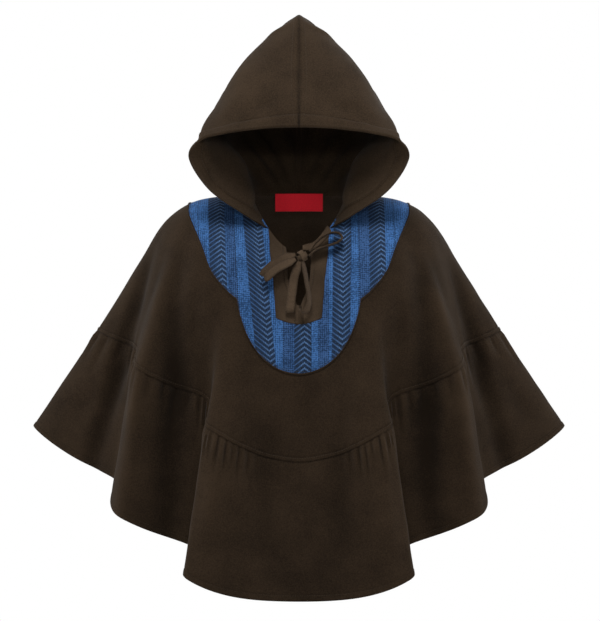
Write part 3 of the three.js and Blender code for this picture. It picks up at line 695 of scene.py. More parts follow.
def tape(line, wide, widths, thicks, closed=False, rumple=0.0):
    """Points, faces and cut places of a tape along a line, its width along wide at each point."""
    along = np.gradient(line, axis=0)
    if closed:
        along = np.roll(line, -1, axis=0) - np.roll(line, 1, axis=0)
    along = unit(along)
    wide = unit(wide - (wide * along).sum(1, keepdims=True) * along)
    deep = np.cross(along, wide)
    w, d = tape_section()
    rings, sides = len(line), len(w)
    length = cumulative(line)[:, None]
    across = w[None] * widths[:, None]
    wave = np.sin(length / 1.9 + 0.5 * np.sin(across)) * np.sin(length / 5.3 + across / 6)
    depth = d[None] * thicks[:, None] + rumple * wave
    points = line[:, None] + across[..., None] * wide[:, None] + depth[..., None] * deep[:, None]
    at = np.arange(rings * sides).reshape(rings, sides)
    if closed:
        at = np.vstack([at, at[:1]])
    a, b = at[:-1], np.roll(at, -1, axis=1)[:-1]
    c, e = np.roll(at, -1, axis=1)[1:], at[1:]
    quads = np.stack([a, b, c, e], axis=-1).reshape(-1, 4)
    # Painted shade along the tape's edges: the colour darkens there as a depth.
    edge = -9 * ramp(0.34, 0.5, np.abs(w)) + 0 * across
    cut = np.stack([across, np.broadcast_to(length, across.shape), edge], axis=-1)
    points, cut = points.reshape(-1, 3), cut.reshape(-1, 3) * MM
    faces = [quads]
    if not closed:
        ends = []
        for ring, flip in ((np.arange(sides), -1), (np.arange(sides) + (rings - 1) * sides, 1)):
            centre = len(points)
            points = np.vstack([points, points[ring].mean(0)])
            cut = np.vstack([cut, cut[ring].mean(0)])
            ends.append(np.stack([np.full(sides, centre), ring, np.roll(ring, -1)], axis=1)[:, ::flip])
        faces.append(np.concatenate(ends))
    return points, faces, cut


def joined(parts):
    """Several meshes' points, faces and cut places as one."""
    points, faces, cuts, base = [], [], [], 0
    for p, f, c in parts:
        points.append(p)
        faces += [face + base for face in f]
        cuts.append(c)
        base += len(p)
    return np.vstack(points), faces, np.vstack(cuts)


def stitches(lines, long, gap, wide, high=0.5):
    """Stitches along lines of points with normals: a small half-sunk grain of thread each."""
    rings = ((-0.5, 0.25), (-0.32, 0.85), (0.32, 0.85), (0.5, 0.25))
    points, quads, base = [], [], 0
    for line, normals in lines:
        along = cumulative(line)
        count = int(along[-1] // (long + gap))
        if count < 1:
            continue
        at = (np.arange(count) + 0.5) * along[-1] / count
        centre = read_line(at, along, line)
        way = unit(read_line(at + 0.4, along, line) - read_line(at - 0.4, along, line))
        up = unit(read_line(at, along, normals))
        out = np.cross(way, up)
        grain = []
        for shift, size in rings:
            for turn in range(4):
                angle = math.radians(45 + 90 * turn)
                grain.append(
                    centre + way * shift * long + out * (math.cos(angle) * size * wide * 0.7)
                    + up * (math.sin(angle) * size * high * 0.9),
                )
        grain = np.stack(grain, axis=1)
        points.append(grain.reshape(-1, 3))
        first = base + np.arange(count)[:, None] * 16
        for k in range(3):
            for turn in range(4):
                a, b = 4 * k + turn, 4 * k + (turn + 1) % 4
                quads.append(first + np.array([a, a + 4, b + 4, b]))
        quads.append(first + np.array([0, 1, 2, 3]))
        quads.append(first + np.array([15, 14, 13, 12]))
        base += count * 16
    return np.vstack(points), np.vstack(quads)


def stitched(name, lines, sizes, material, long=None):
    """The stitches along several lines, as one piece."""
    long = long or sizes.stitch / MM
    points, quads = stitches(lines, long, sizes.stitch_gap / MM, sizes.thread / MM)
    return finish_piece(add_mesh(name, points, [quads], material))


def row_line(panel, row):
    """A row of a panel's outer skin, as a line to stitch along."""
    return panel.outer[row], panel.normals[row]


def inside_out(panel):
    """The panel with its inner skin as the outer one."""
    return panel._replace(outer=panel.inner, normals=-panel.normals)


def seam_line(panel, distances, distance):
    """The line on a panel where the distances, one for each point of its grid, reach a value.
    Distances rise along each row."""
    places, normals = [], []
    for row, at in enumerate(distances):
        if at[0] <= distance <= at[-1]:
            places.append(read_line([distance], at, panel.outer[row])[0])
            normals.append(read_line([distance], at, panel.normals[row])[0])
    return np.array(places), np.array(normals)


def mirrored_line(line):
    return tuple(part * (-1, 1, 1) for part in line)


def welt(away, width, rise):
    """The rise of a turned or topstitched edge, with the dip of its stitch line."""
    edge = 0.45 + 0.55 * ramp(0, 1.3, away)
    return rise * edge * (1 - ramp(width - 0.5, width + 0.7, away)) - 0.6 * bump(away - width - 0.4, 1.1)


def gather_phase(angles):
    """Counts the gathers round the seam, so that each whole number is a trough."""
    front = spread(sorted(GATHER_KEYS_FRONT), GATHER_WIDEST)
    keys = np.concatenate([front, spread(GATHER_KEYS_BACK, GATHER_WIDEST)[1:]])
    turned = wrapped(angles)
    return np.interp(np.abs(turned), keys, np.arange(len(keys))) * np.where(turned < 0, -1, 1)


def gathers(angles, below, depth):
    """Troughs and ridges from the gathered seam down, uneven in depth and length."""
    phase = gather_phase(angles)
    turned = np.abs(wrapped(angles))
    full = 0.12 + 0.88 * ramp(FLAT_FRONT_ANGLE, 2.3 * FLAT_FRONT_ANGLE, turned)
    uneven = 0.85 + 0.3 * np.sin(1.7 * phase + 1)
    long = 58 + 20 * np.sin(2.3 * phase + 0.4)
    rise = 0.35 + 0.65 * ramp(0, 10, below)
    broad = (0.5 - np.exp(-((np.abs(phase - np.round(phase)) / 0.23) ** 2))) * uneven * rise
    broad *= 1 - ramp(10, long, below)
    fine = -0.12 * np.cos(6 * np.pi * phase + 1.3 * np.sin(0.9 * phase)) * rise
    return depth * full * (broad + fine * (1 - ramp(3, 22 + 8 * np.sin(3.1 * phase), below)))


def body_relief(points, sizes):
    return creased(points, BODY_CREASES, body_place, sizes.crease_strength)


def body_panel(angles, reach, sizes, lift=0.0, thick=None, tone=0.0):
    """A stretch of the body, lifted off its form. Its creases are painted into the colour too, as shade in
    their troughs and light on their ridges, and tone is painted shade and light that counts as depth in the
    colour alone.
    """
    points = body_points(angles, reach)
    normals = grid_normals(points)
    depth = body_relief(points, sizes)
    outer = points + normals * (lift + depth + ripple(points, 30, 0.3))[..., None]
    # Painted shade and light: the creases' depth and the tone darken or pale the colour.
    return sewn(outer, normals, sizes.wall / MM if thick is None else thick, depth + tone)


def yoke_edge(angles):
    """How far down the yoke reaches at each angle."""
    turned = np.abs(angles)
    bib = BIB_REACH - BIB_RISE * (np.minimum(turned, BIB_ANGLE) / BIB_ANGLE) ** BIB_POWER
    rows = np.array(YOKE_SHOULDER)
    return np.where(turned < BIB_ANGLE, bib, curve_at(rows[:, 0], rows[:, 1], turned))


def yoke_start(angles):
    """Where the yoke begins at each angle: at the neck seam, or at the placket's side and foot."""
    rows = np.array(PLACKET_SIDE)
    start = np.interp(np.abs(angles), rows[:, 0], rows[:, 1])
    return start + np.where(np.abs(angles) <= rows[0, 0], SEAM_GAP / 2, 0)


def fall_lengths(angles, reach):
    """How far down the cloth each point lies, measured with no step to the side."""
    steps = np.diff(walk(angles), axis=0)
    falls = steps[..., 1] * 0.45 + steps[..., 2] < 0
    down = np.hypot(steps[..., 1], steps[..., 2]) * np.where(falls, 1, -1)
    fine = np.linspace(0, SIDE_ANGLE, 400)
    start = -np.interp(np.abs(angles), fine, cumulative(neck_points(fine)[:, 1:]))
    return read_rows(np.concatenate([start[None], start[None] + np.cumsum(down, axis=0)]), reach)


def hood_grid(levels, shares):
    """Points of the hood's right half, one row for each level and one column for each share."""
    stations_at = np.linspace(0, 1, len(HOOD_STATIONS))
    foot = neck_points(HOOD_FRONT_ANGLE + stations_at * (180 - HOOD_FRONT_ANGLE))
    table = [foot] + [np.array([getattr(row, station) for station in HOOD_STATIONS]) for row in HOOD]
    stations = curve_at([0] + [row.level for row in HOOD], np.array(table, float), levels)
    points = curve_at(stations_at, stations.swapaxes(0, 1), shares).swapaxes(0, 1)
    settle = 1 - ramp(0, HOOD[0].level, levels)
    drift = neck_points(HOOD_FRONT_ANGLE + shares * (180 - HOOD_FRONT_ANGLE))
    drift = drift - curve_at(stations_at, foot, shares)
    points = points + settle[:, None, None] * drift[None]
    points[..., 2] -= HOOD_SEAM_DEPTH * settle[:, None]
    return points


def hood_place(steps):
    """Points at pairs of level and share, where a share above 1 is on the left half."""
    levels, shares = steps[:, 0], steps[:, 1]
    side = np.where(shares > 1, -1, 1)
    grid = hood_grid(levels, np.where(shares > 1, 2 - shares, shares))
    places = grid[np.arange(len(levels)), np.arange(len(levels))]
    places[:, 0] *= side
    return places


class Shader:
    """One material's nodes, added in the order in which they are used."""

    def __init__(self, name, roughness, sheen):
        self.material = bpy.data.materials.new(name)
        self.material.use_nodes = True
        self.tree = self.material.node_tree
        self.surface = self.tree.nodes["Principled BSDF"]
        self.surface.inputs["Roughness"].default_value = roughness
        self.surface.inputs["Sheen Weight"].default_value = sheen
        self.surface.inputs["Sheen Roughness"].default_value = 0.5
        self.surface.inputs["Specular IOR Level"].default_value = 0.04

    def add(self, kind, **settings):
        node = self.tree.nodes.new(kind)
        for key, value in settings.items():
            setattr(node, key, value)
        return node

    def feed(self, socket, value):
        if isinstance(value, bpy.types.NodeSocket):
            self.tree.links.new(value, socket)
        else:
            socket.default_value = value

    def math(self, operation, *values):
        node = self.add("ShaderNodeMath", operation=operation)
        for socket, value in zip(node.inputs, values):
            self.feed(socket, value)
        return node.outputs[0]

    def mix(self, share, low, high):
        node = self.add("ShaderNodeMix", data_type="RGBA")
        for socket, value in zip((node.inputs[0], node.inputs[6], node.inputs[7]), (share, low, high)):
            self.feed(socket, tuple(value) if not isinstance(value, (float, bpy.types.NodeSocket)) else value)
        return node.outputs[2]

    def apart(self, value, middle):
        return self.math("ABSOLUTE", self.math("SUBTRACT", value, middle))

    def grain(self, noise, strength, tone):
        """The tone with a noise added that is as often darker as it is paler."""
        return self.math("MULTIPLY_ADD", self.math("SUBTRACT", noise, 0.5), strength, tone)

    def below(self, value, edge, soft):
        """1 where the value is under an edge, 0 where it is over, and soft between."""
        node = self.add("ShaderNodeMapRange", interpolation_type="SMOOTHSTEP")
        for name, number in (("Value", value), ("From Min", edge - soft), ("From Max", edge + soft),
                             ("To Min", 1.0), ("To Max", 0.0)):
            self.feed(node.inputs[name], number)
        return node.outputs[0]

    def wave(self, value, length):
        return self.math("SINE", self.math("MULTIPLY", value, 2 * math.pi / length))

    def noise(self, place, scale, detail):
        node = self.add("ShaderNodeTexNoise")
        self.feed(node.inputs["Vector"], place)
        self.feed(node.inputs["Scale"], scale)
        self.feed(node.inputs["Detail"], detail)
        return node.outputs["Fac"]

    def object_place(self):
        return self.add("ShaderNodeTexCoord").outputs["Object"]

    def cut_place(self):
        """Where a point lies on its cut cloth, in millimetres. The third number is painted shade and light as
        a depth on the brushed cloths, and the drop below the throat on the yoke.
        """
        node = self.add("ShaderNodeAttribute", attribute_name="cloth")
        split = self.add("ShaderNodeSeparateXYZ")
        self.feed(split.inputs[0], node.outputs["Vector"])
        return [self.math("MULTIPLY", split.outputs[k], 1 / MM) for k in range(3)]

    def finish(self, colour, height, strength, distance):
        bump_node = self.add("ShaderNodeBump")
        self.feed(bump_node.inputs["Height"], height)
        self.feed(bump_node.inputs["Strength"], strength)
        self.feed(bump_node.inputs["Distance"], distance)
        self.feed(self.surface.inputs["Normal"], bump_node.outputs[0])
        self.feed(self.surface.inputs["Base Color"], colour)
        return self.material


def shade(colour, share):
    """A colour made darker or paler by a share."""
    return tuple(min(1.0, channel * share) for channel in colour[:3]) + (1.0,)


def brushed_cloth(name, colour, nap):
    """Brown cloth with a fine twill under a short nap, in faint patches where it is brushed, with
    painted shade darker in its hollows, seams and stitch lines, and painted light paler on its ridges."""
    shader = Shader(name, roughness=0.92, sheen=0.015 + 0.02 * nap)
    place = shader.object_place()
    across, along, depth = shader.cut_place()
    twill = shader.wave(shader.math("ADD", across, shader.math("MULTIPLY", along, 0.8)), 1.15)
    fibre = shader.noise(place, 560.0, 4.0)
    patch = shader.noise(place, 21.0, 3.0)
    tone = shader.grain(patch, 0.8, shader.grain(fibre, 1.4 * nap, 0.5))
    tone = shader.math("MULTIPLY_ADD", twill, 0.04, tone)
    # Painted shade and light: the cut's depth darkens the colour in hollows, seams and stitch lines and pales
    # it on ridges.
    tone = shader.math("MULTIPLY_ADD", depth, 0.036, tone)
    tinted = shader.mix(tone, shade(colour, 0.45), shade(colour, 1.55))
    height = shader.math("MULTIPLY_ADD", twill, 0.35, shader.math("MULTIPLY", fibre, 1.3 * nap))
    return shader.finish(tinted, height, 0.45, 0.00035)


def striped_cloth(name, colours):
    """Blue woven cloth with chevron stripes, plain and darker bands and dashed lines between."""
    shader = Shader(name, roughness=0.85, sheen=0.02)
    x, fall, drop = shader.cut_place()
    speck = shader.noise(shader.object_place(), 430.0, 3.0)
    cloud = shader.noise(shader.object_place(), 34.0, 2.0)
    rising = shader.wave(shader.math("ADD", x, fall), DIAMOND_LENGTH)
    falling = shader.wave(shader.math("SUBTRACT", x, fall), DIAMOND_LENGTH)
    diamonds = shader.math("MULTIPLY", rising, falling)
    tone = shader.math("MULTIPLY_ADD", diamonds, 0.5, 0.5)
    tone = shader.grain(cloud, 1.5, shader.grain(speck, 3.2, tone))
    woven = shader.mix(tone, shade(colours.blue, 0.48), shade(colours.blue, 1.5))
    deep = shader.mix(tone, shade(colours.deep_blue, 0.5), shade(colours.deep_blue, 1.65))

    def leaned(lean):
        return shader.math("MULTIPLY_ADD", drop, -lean, x) if lean else x

    for band in DEEP_BANDS:
        off = shader.apart(leaned(band.lean), (band.low + band.high) / 2)
        woven = shader.mix(shader.below(off, (band.high - band.low) / 2, 0.9), woven, deep)
    for line in DASHED_LINES:
        off = shader.apart(leaned(line.lean), line.middle)
        dash = shader.below(shader.math("PINGPONG", fall, 1.5), 0.8, 0.25)
        dark = shader.math("MULTIPLY", shader.below(off, 0.6, 0.3), dash)
        woven = shader.mix(dark, woven, shade(colours.charcoal, 1.0))
    for stripe in STRIPES:
        local = shader.math("SUBTRACT", leaned(stripe.lean), stripe.middle)
        inside = shader.below(shader.math("ABSOLUTE", local), stripe.width / 2, 0.7)
        away = shader.apart(local, (stripe.point - 0.5) * stripe.width)
        slope = -CHEVRON_SLOPE if stripe.upward else CHEVRON_SLOPE
        phase = shader.math("DIVIDE", shader.math("MULTIPLY_ADD", away, slope, fall), CHEVRON_PITCH)
        off = shader.math("PINGPONG", phase, 0.5)
        bar = shader.below(off, CHEVRON_SHARE / 2, 0.06)
        dots = shader.below(shader.math("PINGPONG", away, 1.1), 0.6, 0.2)
        tip = shader.below(away, 7.0, 5.0)
        edge = shader.below(shader.apart(off, 0.4), 0.07, 0.04)
        bright = shader.math("MULTIPLY", shader.math("MULTIPLY", dots, edge), tip)
        chevrons = shader.mix(bar, shade(colours.line_blue, 1.0), shade(colours.charcoal, 1.0))
        chevrons = shader.mix(bright, chevrons, shade(colours.pale_blue, 1.0))
        mottled = shader.mix(shader.grain(speck, 1.6, 0.3), chevrons, shade(colours.deep_blue, 0.9))
        woven = shader.mix(inside, woven, mottled)
    height = shader.math("MULTIPLY_ADD", diamonds, 0.5, speck)
    return shader.finish(woven, height, 0.4, 0.0003)


def satin(name, colour):
    """Red satin with fine threads across."""
    shader = Shader(name, roughness=0.42, sheen=0.1)
    threads = shader.wave(shader.cut_place()[1], 0.55)
    speck = shader.noise(shader.object_place(), 900.0, 2.0)
    tone = shader.math("MULTIPLY_ADD", threads, 0.1, speck)
    return shader.finish(shader.mix(tone, shade(colour, 0.75), shade(colour, 1.25)), threads, 0.3, 0.0001)


def sewing_thread(name, colour):
    """Plain thread, a little uneven in its colour."""
    shader = Shader(name, roughness=0.7, sheen=0.1)
    speck = shader.noise(shader.object_place(), 2600.0, 2.0)
    return shader.finish(shader.mix(speck, shade(colour, 0.7), shade(colour, 1.3)), speck, 0.3, 0.0001)


def number_property(label, description, default, low=0.0, **settings):
    return FloatProperty(name=label, description=description, default=default, min=low, **settings)


def length_property(label, description, millimetres):
    return number_property(label, description, millimetres * MM, precision=5, unit="LENGTH")


def power_property(label, place, watts):
    return number_property(label, f"Power of the {place}, in watts", watts)


def colour_property(label, description, colour):
    return FloatVectorProperty(name=label, description=description, default=(*colour, 1.0), size=4,
                               min=0.0, max=1.0, subtype="COLOR")


class CapeSizes(bpy.types.PropertyGroup):
    """Sizes of the cloth and its sewing"""

    wall: length_property("Cloth", "Thickness of the cloth", 1.8)
    spacing: length_property("Grid", "Distance between the points of the cloth", 2.85)
    crease_strength: number_property("Creases", "Depth of the soft creases", 1.0, max=2.0)
    gather_depth: length_property("Gathers", "Depth of the flounce's gathers", 4.8)
    gather_fullness: number_property("Fullness", "Length of the flounce's cut to its seam", 1.25, 1.0,
                                     max=2.0)
    seam_welt: length_property("Seam welt", "Width of the topstitched edge above the flounce", 6.0)
    hem: length_property("Hem", "Width of the turned hem", 7.5)
    band: length_property("Hood band", "Width of the turned band along the hood's edge", 20.0)
    piping: length_property("Piping", "Width of the yoke's piping", 3.0)
    piping_rise: length_property("Piping rise", "Height of the yoke's piping", 1.5)
    stitch: length_property("Stitch", "Length of a stitch", 2.5)
    stitch_gap: length_property("Stitch gap", "Gap between stitches", 0.9)
    thread: length_property("Thread", "Thickness of the thread", 0.5)


class CapeColours(bpy.types.PropertyGroup):
    """Colours of the cloths and threads"""

    brown: colour_property("Brown", "Brushed cloth of the body", (0.0262, 0.0168, 0.0098))
    # The hood's brown is the body's brushed cloth made paler, as painted light for the light that falls on
    # the hood from above.
    hood_brown_painted_light: colour_property("Hood", "Brushed cloth of the hood", (0.035, 0.0228, 0.0135))
    trim_brown: colour_property("Trim", "Smooth cloth of the placket, piping and tie", (0.051, 0.0345, 0.022))
    tie_brown: colour_property("Tie", "Smooth cloth of the tie", (0.068, 0.046, 0.0295))
    thread: colour_property("Thread", "Sewing thread", (0.042, 0.029, 0.0185))
    blue: colour_property("Blue", "Plain bands of the yoke", (0.036, 0.1, 0.25))
    deep_blue: colour_property("Deep blue", "Mottled bands of the yoke", (0.026, 0.062, 0.15))
    line_blue: colour_property("Line blue", "Thin lines between the chevrons", (0.042, 0.095, 0.215))
    pale_blue: colour_property("Pale blue", "Dots at the chevrons' points", (0.13, 0.24, 0.44))
    charcoal: colour_property("Charcoal", "Chevron bars", (0.0125, 0.0175, 0.027))
    red: colour_property("Red", "Label inside the neck", (0.74, 0.016, 0.03))


class CapeStage(bpy.types.PropertyGroup):
    """Camera, light and floor"""

    distance: number_property("Camera distance", "From the cape's middle to the camera", 3.0, 1.0,
                              unit="LENGTH")
    height: number_property("Camera height", "Height of the camera", -0.16575, -5.0, unit="LENGTH")
    aside: number_property("Camera aside", "Distance of the camera to the right", 0.0015, -5.0, unit="LENGTH")
    lens: number_property("Lens", "Focal length in millimetres", 120.0, 10.0)
    floor_drop: number_property("Floor", "Depth of the floor below the neck", 1.4, 0.6, unit="LENGTH")
    key_power: power_property("Key light", "light above the front", 80.0)
    side_power: power_property("Side lights", "light on each side", 50.0)
    front_power: power_property("Front light", "small light at the front", 6.0)
    hood_power: power_property("Hood light", "narrow light into the hood", 108.0)
    back_power: power_property("Back light", "light behind", 40.0)
    room: number_property("Room light", "Strength of the light from all round", 0.07)


def groups(context):
    scene = context.scene
    return scene.cape_sizes, scene.cape_colours, scene.cape_stage


def material_once(name, make, *facts):
    """The material of that name, made when it is first asked for."""
    return bpy.data.materials.get(name) or make(name, *facts)


def body_material(colours):
    return material_once("brushed_brown", brushed_cloth, colours.brown, 1.0)


def thread_material(colours):
    return material_once("brown_thread", sewing_thread, colours.thread)


def pointed(kind, name, place, target, **settings):
    """A light or camera at a place, turned towards a target."""
    if kind == "CAMERA":
        data = bpy.data.cameras.new(name)
    else:
        data = bpy.data.lights.new(name, kind)
    if kind == "AREA":
        data.shape = "DISK"
    for key, value in settings.items():
        setattr(data, key, value)
    made = bpy.data.objects.new(name, data)
    bpy.context.scene.collection.objects.link(made)
    made.location = place
    made.rotation_euler = (Vector(target) - Vector(place)).to_track_quat("-Z", "Y").to_euler()
    return made


def glow(surface, strength):
    """Makes a surface give out white light of its own."""
    surface.inputs["Emission Color"].default_value = (1, 1, 1, 1)
    surface.inputs["Emission Strength"].default_value = strength


class CapeStageOperator(bpy.types.Operator):
    """Place the camera, the lights, the floor and the pale surround"""

    bl_idname = "cape.stage"
    bl_label = "Set the stage"

    def execute(self, context):
        stage = groups(context)[2]
        scene = context.scene
        eye = (stage.aside, -stage.distance, stage.height)
        scene.camera = pointed(
            "CAMERA", "camera", eye, (stage.aside, 0, stage.height), lens=stage.lens,
            sensor_width=36.0, sensor_fit="HORIZONTAL", clip_end=100.0,
        )
        for light in LIGHTS:
            power = getattr(stage, light.power)
            pointed(light.kind, light.name, light.place, light.target, energy=power, **light.settings)
        world = bpy.data.worlds.new("room")
        world.use_nodes = True
        background = world.node_tree.nodes["Background"]
        background.inputs["Color"].default_value = (1.0, 0.98, 0.96, 1.0)
        background.inputs["Strength"].default_value = stage.room
        scene.world = world
        scene.view_settings.view_transform = "Standard"

        bpy.ops.mesh.primitive_circle_add(vertices=96, radius=FLOOR_RADIUS, fill_type="NGON",
                                          location=(0, 0, -stage.floor_drop))
        floor = context.object
        floor.name = "floor"
        pale = Shader("pale_floor", roughness=0.8, sheen=0.0)
        speck = pale.noise(pale.object_place(), 60.0, 2.0)
        glow(pale.surface, FLOOR_GLOW)
        floor.data.materials.append(
            pale.finish(pale.mix(speck, (0.8, 0.8, 0.8, 1.0), (0.83, 0.83, 0.83, 1.0)), speck, 0.1, 0.0005),
        )
        bpy.ops.mesh.primitive_uv_sphere_add(segments=64, ring_count=32, radius=SURROUND_RADIUS)
        surround = context.object
        surround.name = "surround"
        white = bpy.data.materials.new("white_surround")
        white.use_nodes = True
        surface = white.node_tree.nodes["Principled BSDF"]
        surface.inputs["Base Color"].default_value = (0, 0, 0, 1)
        surface.inputs["Specular IOR Level"].default_value = 0.0
        glow(surface, 1.0)
        surround.data.materials.append(white)
        surround.visible_diffuse = surround.visible_glossy = surround.visible_shadow = False
        surround.visible_transmission = surround.visible_volume_scatter = False
        return {"FINISHED"}


def ellipse_ring(normal, grow, count=56):
    """A ring of points round the knot, square to a direction."""
    normal = unit(np.array(normal, float))
    first = unit(np.cross(normal, (0.3, 1, 0.2)))
    second = np.cross(normal, first)
    turn = np.linspace(0, 2 * np.pi, count, endpoint=False)[:, None]
    way = np.cos(turn) * first + np.sin(turn) * second
    reach = grow / np.sqrt(((way / KNOT_RADII) ** 2).sum(1, keepdims=True))
    return np.array(KNOT_CENTRE) + way * reach, np.broadcast_to(normal, way.shape)


def knot_parts():
    """The strand's wraps round the bow's middle, each an oval ring sized by the knot's radii."""
    parts = []
    for wrap in KNOT_WRAPS:
        ring, wide = ellipse_ring(wrap.winds_round, wrap.size)
        turn = np.linspace(0, 2 * np.pi, len(ring), endpoint=False)
        widths = wrap.width * (1 + 0.14 * np.sin(2 * turn + wrap.width))
        parts.append(tape(ring, wide, widths, np.full(len(ring), STRAND_THICK), closed=True, rumple=0.22))
    return parts


def strand_line(strand):
    """A strand's line, its width and its thickness at each point, and the way its width points."""
    line = smooth_line(strand.route, 1.2)
    along = cumulative(line)
    to_knot = np.minimum(along, along[-1] - along) if strand.both_ends else along
    widths = STRAND_WIDTH * (PINCH + (1 - PINCH) * ramp(0, PINCH_LENGTH, to_knot))
    thicks = STRAND_THICK * (1 + 0.25 * (1 - ramp(0, PINCH_LENGTH, to_knot)))
    wide = np.broadcast_to(np.array(strand.across, float), line.shape)
    tangent = unit(np.gradient(line, axis=0))
    wide = unit(wide - (wide * tangent).sum(1, keepdims=True) * tangent)
    return line, widths, thicks, wide, np.cross(tangent, wide)


class CapeTieOperator(bpy.types.Operator):
    """Make the bow at the throat, with its knot and the strap to the hood's right end"""

    bl_idname = "cape.tie"
    bl_label = "Tie the bow"

    def execute(self, context):
        sizes, colours = groups(context)[:2]
        trim = material_once("tie_brown", brushed_cloth, colours.tie_brown, 0.45)
        thread = thread_material(colours)
        points, faces, cut = joined(knot_parts())
        knot = add_mesh("tie_knot_wraps", points, faces, trim, cut)
        finish_piece(knot, "tie_knot")
        for strand in STRANDS:
            line, widths, thicks, wide, deep = strand_line(strand)
            points, faces, cut = tape(line, wide, widths, thicks, rumple=0.3)
            piece = add_mesh(strand.name + "_tape", points, faces, trim, cut)
            finish_piece(piece, strand.name)
            seams = []
            for side, face in ((-1, -1), (-1, 1), (1, -1), (1, 1)):
                aside, out = side * 0.34 * widths[:, None], face * 0.47 * thicks[:, None]
                seams.append((line + wide * aside + deep * out, face * deep))
            sewing = stitched(strand.name + "_stitches", seams, sizes, thread, TAPE_STITCH_LENGTH)
            print(f"{strand.name}: {cumulative(line)[-1]:.1f} mm")
        self.strap(sizes, trim, thread)
        return {"FINISHED"}

    def strap(self, sizes, trim, thread):
        """A folded tape along the neck edge, its ends drawn in towards the knot and the hood."""
        angles = even_angles(STRAP_FROM, STRAP_TO, lambda a: 0 * a, 1.2)
        share = (angles - STRAP_FROM) / (STRAP_TO - STRAP_FROM)
        across = np.sin(np.linspace(-np.pi / 2, np.pi / 2, 17))[:, None]
        half = STRAP_HALF_WIDTH - 1.6 * bump(share, 0.16)
        reach = 1 + across * half
        points = body_points(angles, reach)
        normals = grid_normals(points)
        rise = STRAP_RISE * (1 - ramp(STRAP_FROM, STRAP_RISE_ANGLE, angles))
        fold = 0.35 * np.sin(angles * 1.9 + across * 1.6) * bump(share - 0.25, 0.3)
        edge = np.sqrt(np.clip(1 - across**2, 0, 1))
        lift = 2 * SEAM_GAP + STRAND_THICK + rise + fold - 0.5 * (1 - edge)
        outer = points + normals * lift[..., None]
        panel = sewn(outer, normals, STRAND_THICK * (0.45 + 0.5 * edge) + 0 * lift)
        strap = cloth_piece("tie_strap_tape", panel, trim, "tie_strap")
        lines = [row_line(panel, 3), row_line(panel, -4)]
        sewing = stitched("tie_strap_stitches", lines, sizes, thread, TAPE_STITCH_LENGTH)


class CapeUpperOperator(bpy.types.Operator):
    """Make the upper tier's front and back, with the topstitched edge above the flounce"""

    bl_idname = "cape.upper"
    bl_label = "Make the upper tier"

    def execute(self, context):
        sizes, colours = groups(context)[:2]
        cloth = body_material(colours)
        thread = thread_material(colours)
        spacing, welt_width = sizes.spacing / MM, sizes.seam_welt / MM
        for half, low, high in HALVES:
            name = half + "_upper"
            angles = even_angles(low + SIDE_GAP, high - SIDE_GAP, lambda a: 0.8 * upper_end(a), spacing)
            end = upper_end(angles) - TIER_GAP / 2
            start = yoke_edge(angles) + SEAM_GAP / 2 if half == "front" else 0 * angles
            reach = rows_between(start, end, PLAIN_EDGE, UPPER_FOOT, spacing)
            above = end - reach
            lift = welt(above, welt_width, 0.8)
            lift += 0.22 * gathers(angles, above * 1.6, sizes.gather_depth / MM)
            # Painted shade along the seam at the tier's foot and in the stitch line above the welt.
            tone = -6 * bump(above, 1.3) - 4 * bump(above - welt_width - 0.6, 1.2)
            panel = body_panel(angles, reach, sizes, lift, tone=tone)
            piece = cloth_piece(name + "_cloth", panel, cloth, name)
            line = row_line(panel, -1 - UPPER_FOOT.index(UPPER_STITCH))
            sewing = stitched(name + "_stitches", [line], sizes, thread)
        return {"FINISHED"}


class CapeFlounceOperator(bpy.types.Operator):
    """Make the gathered flounce, with its turned hem"""

    bl_idname = "cape.flounce"
    bl_label = "Make the flounce"

    def execute(self, context):
        sizes, colours = groups(context)[:2]
        cloth = body_material(colours)
        thread = thread_material(colours)
        spacing, hem = sizes.spacing / MM, sizes.hem / MM
        for half, low, high in HALVES:
            name = "flounce_" + half
            angles = even_angles(low + SIDE_GAP, high - SIDE_GAP, lambda a: upper_end(a) + 90, 0.93 * spacing)
            start, end = upper_end(angles) + TIER_GAP / 2, hem_end(angles)
            reach = rows_between(start, end, FLOUNCE_TOP, HEM_FOOT, spacing)
            below, above = reach - start, end - reach
            gathered = gathers(angles, below, sizes.gather_depth / MM)
            lift = gathered - 0.35 * bump(below, 1.6) + welt(above, hem, 0.55)
            # Painted shade and light: paler on the gathers' ridges and darker in their troughs, with painted
            # shade at the seam and in the hem's stitch line.
            tone = 1.6 * gathered - 6 * bump(below, 1.6) - 3 * bump(above - hem, 1.3)
            thick = sizes.wall / MM + 0.45 * (1 - ramp(hem - 0.8, hem + 0.8, above))
            panel = body_panel(angles, reach, sizes, lift, thick, tone)
            piece = cloth_piece(name + "_cloth", panel, cloth, name)
            lines = [row_line(skin, -1 - HEM_FOOT.index(HEM_STITCH)) for skin in (panel, inside_out(panel))]
            sewing = stitched(name + "_stitches", lines, sizes, thread)
        return {"FINISHED"}


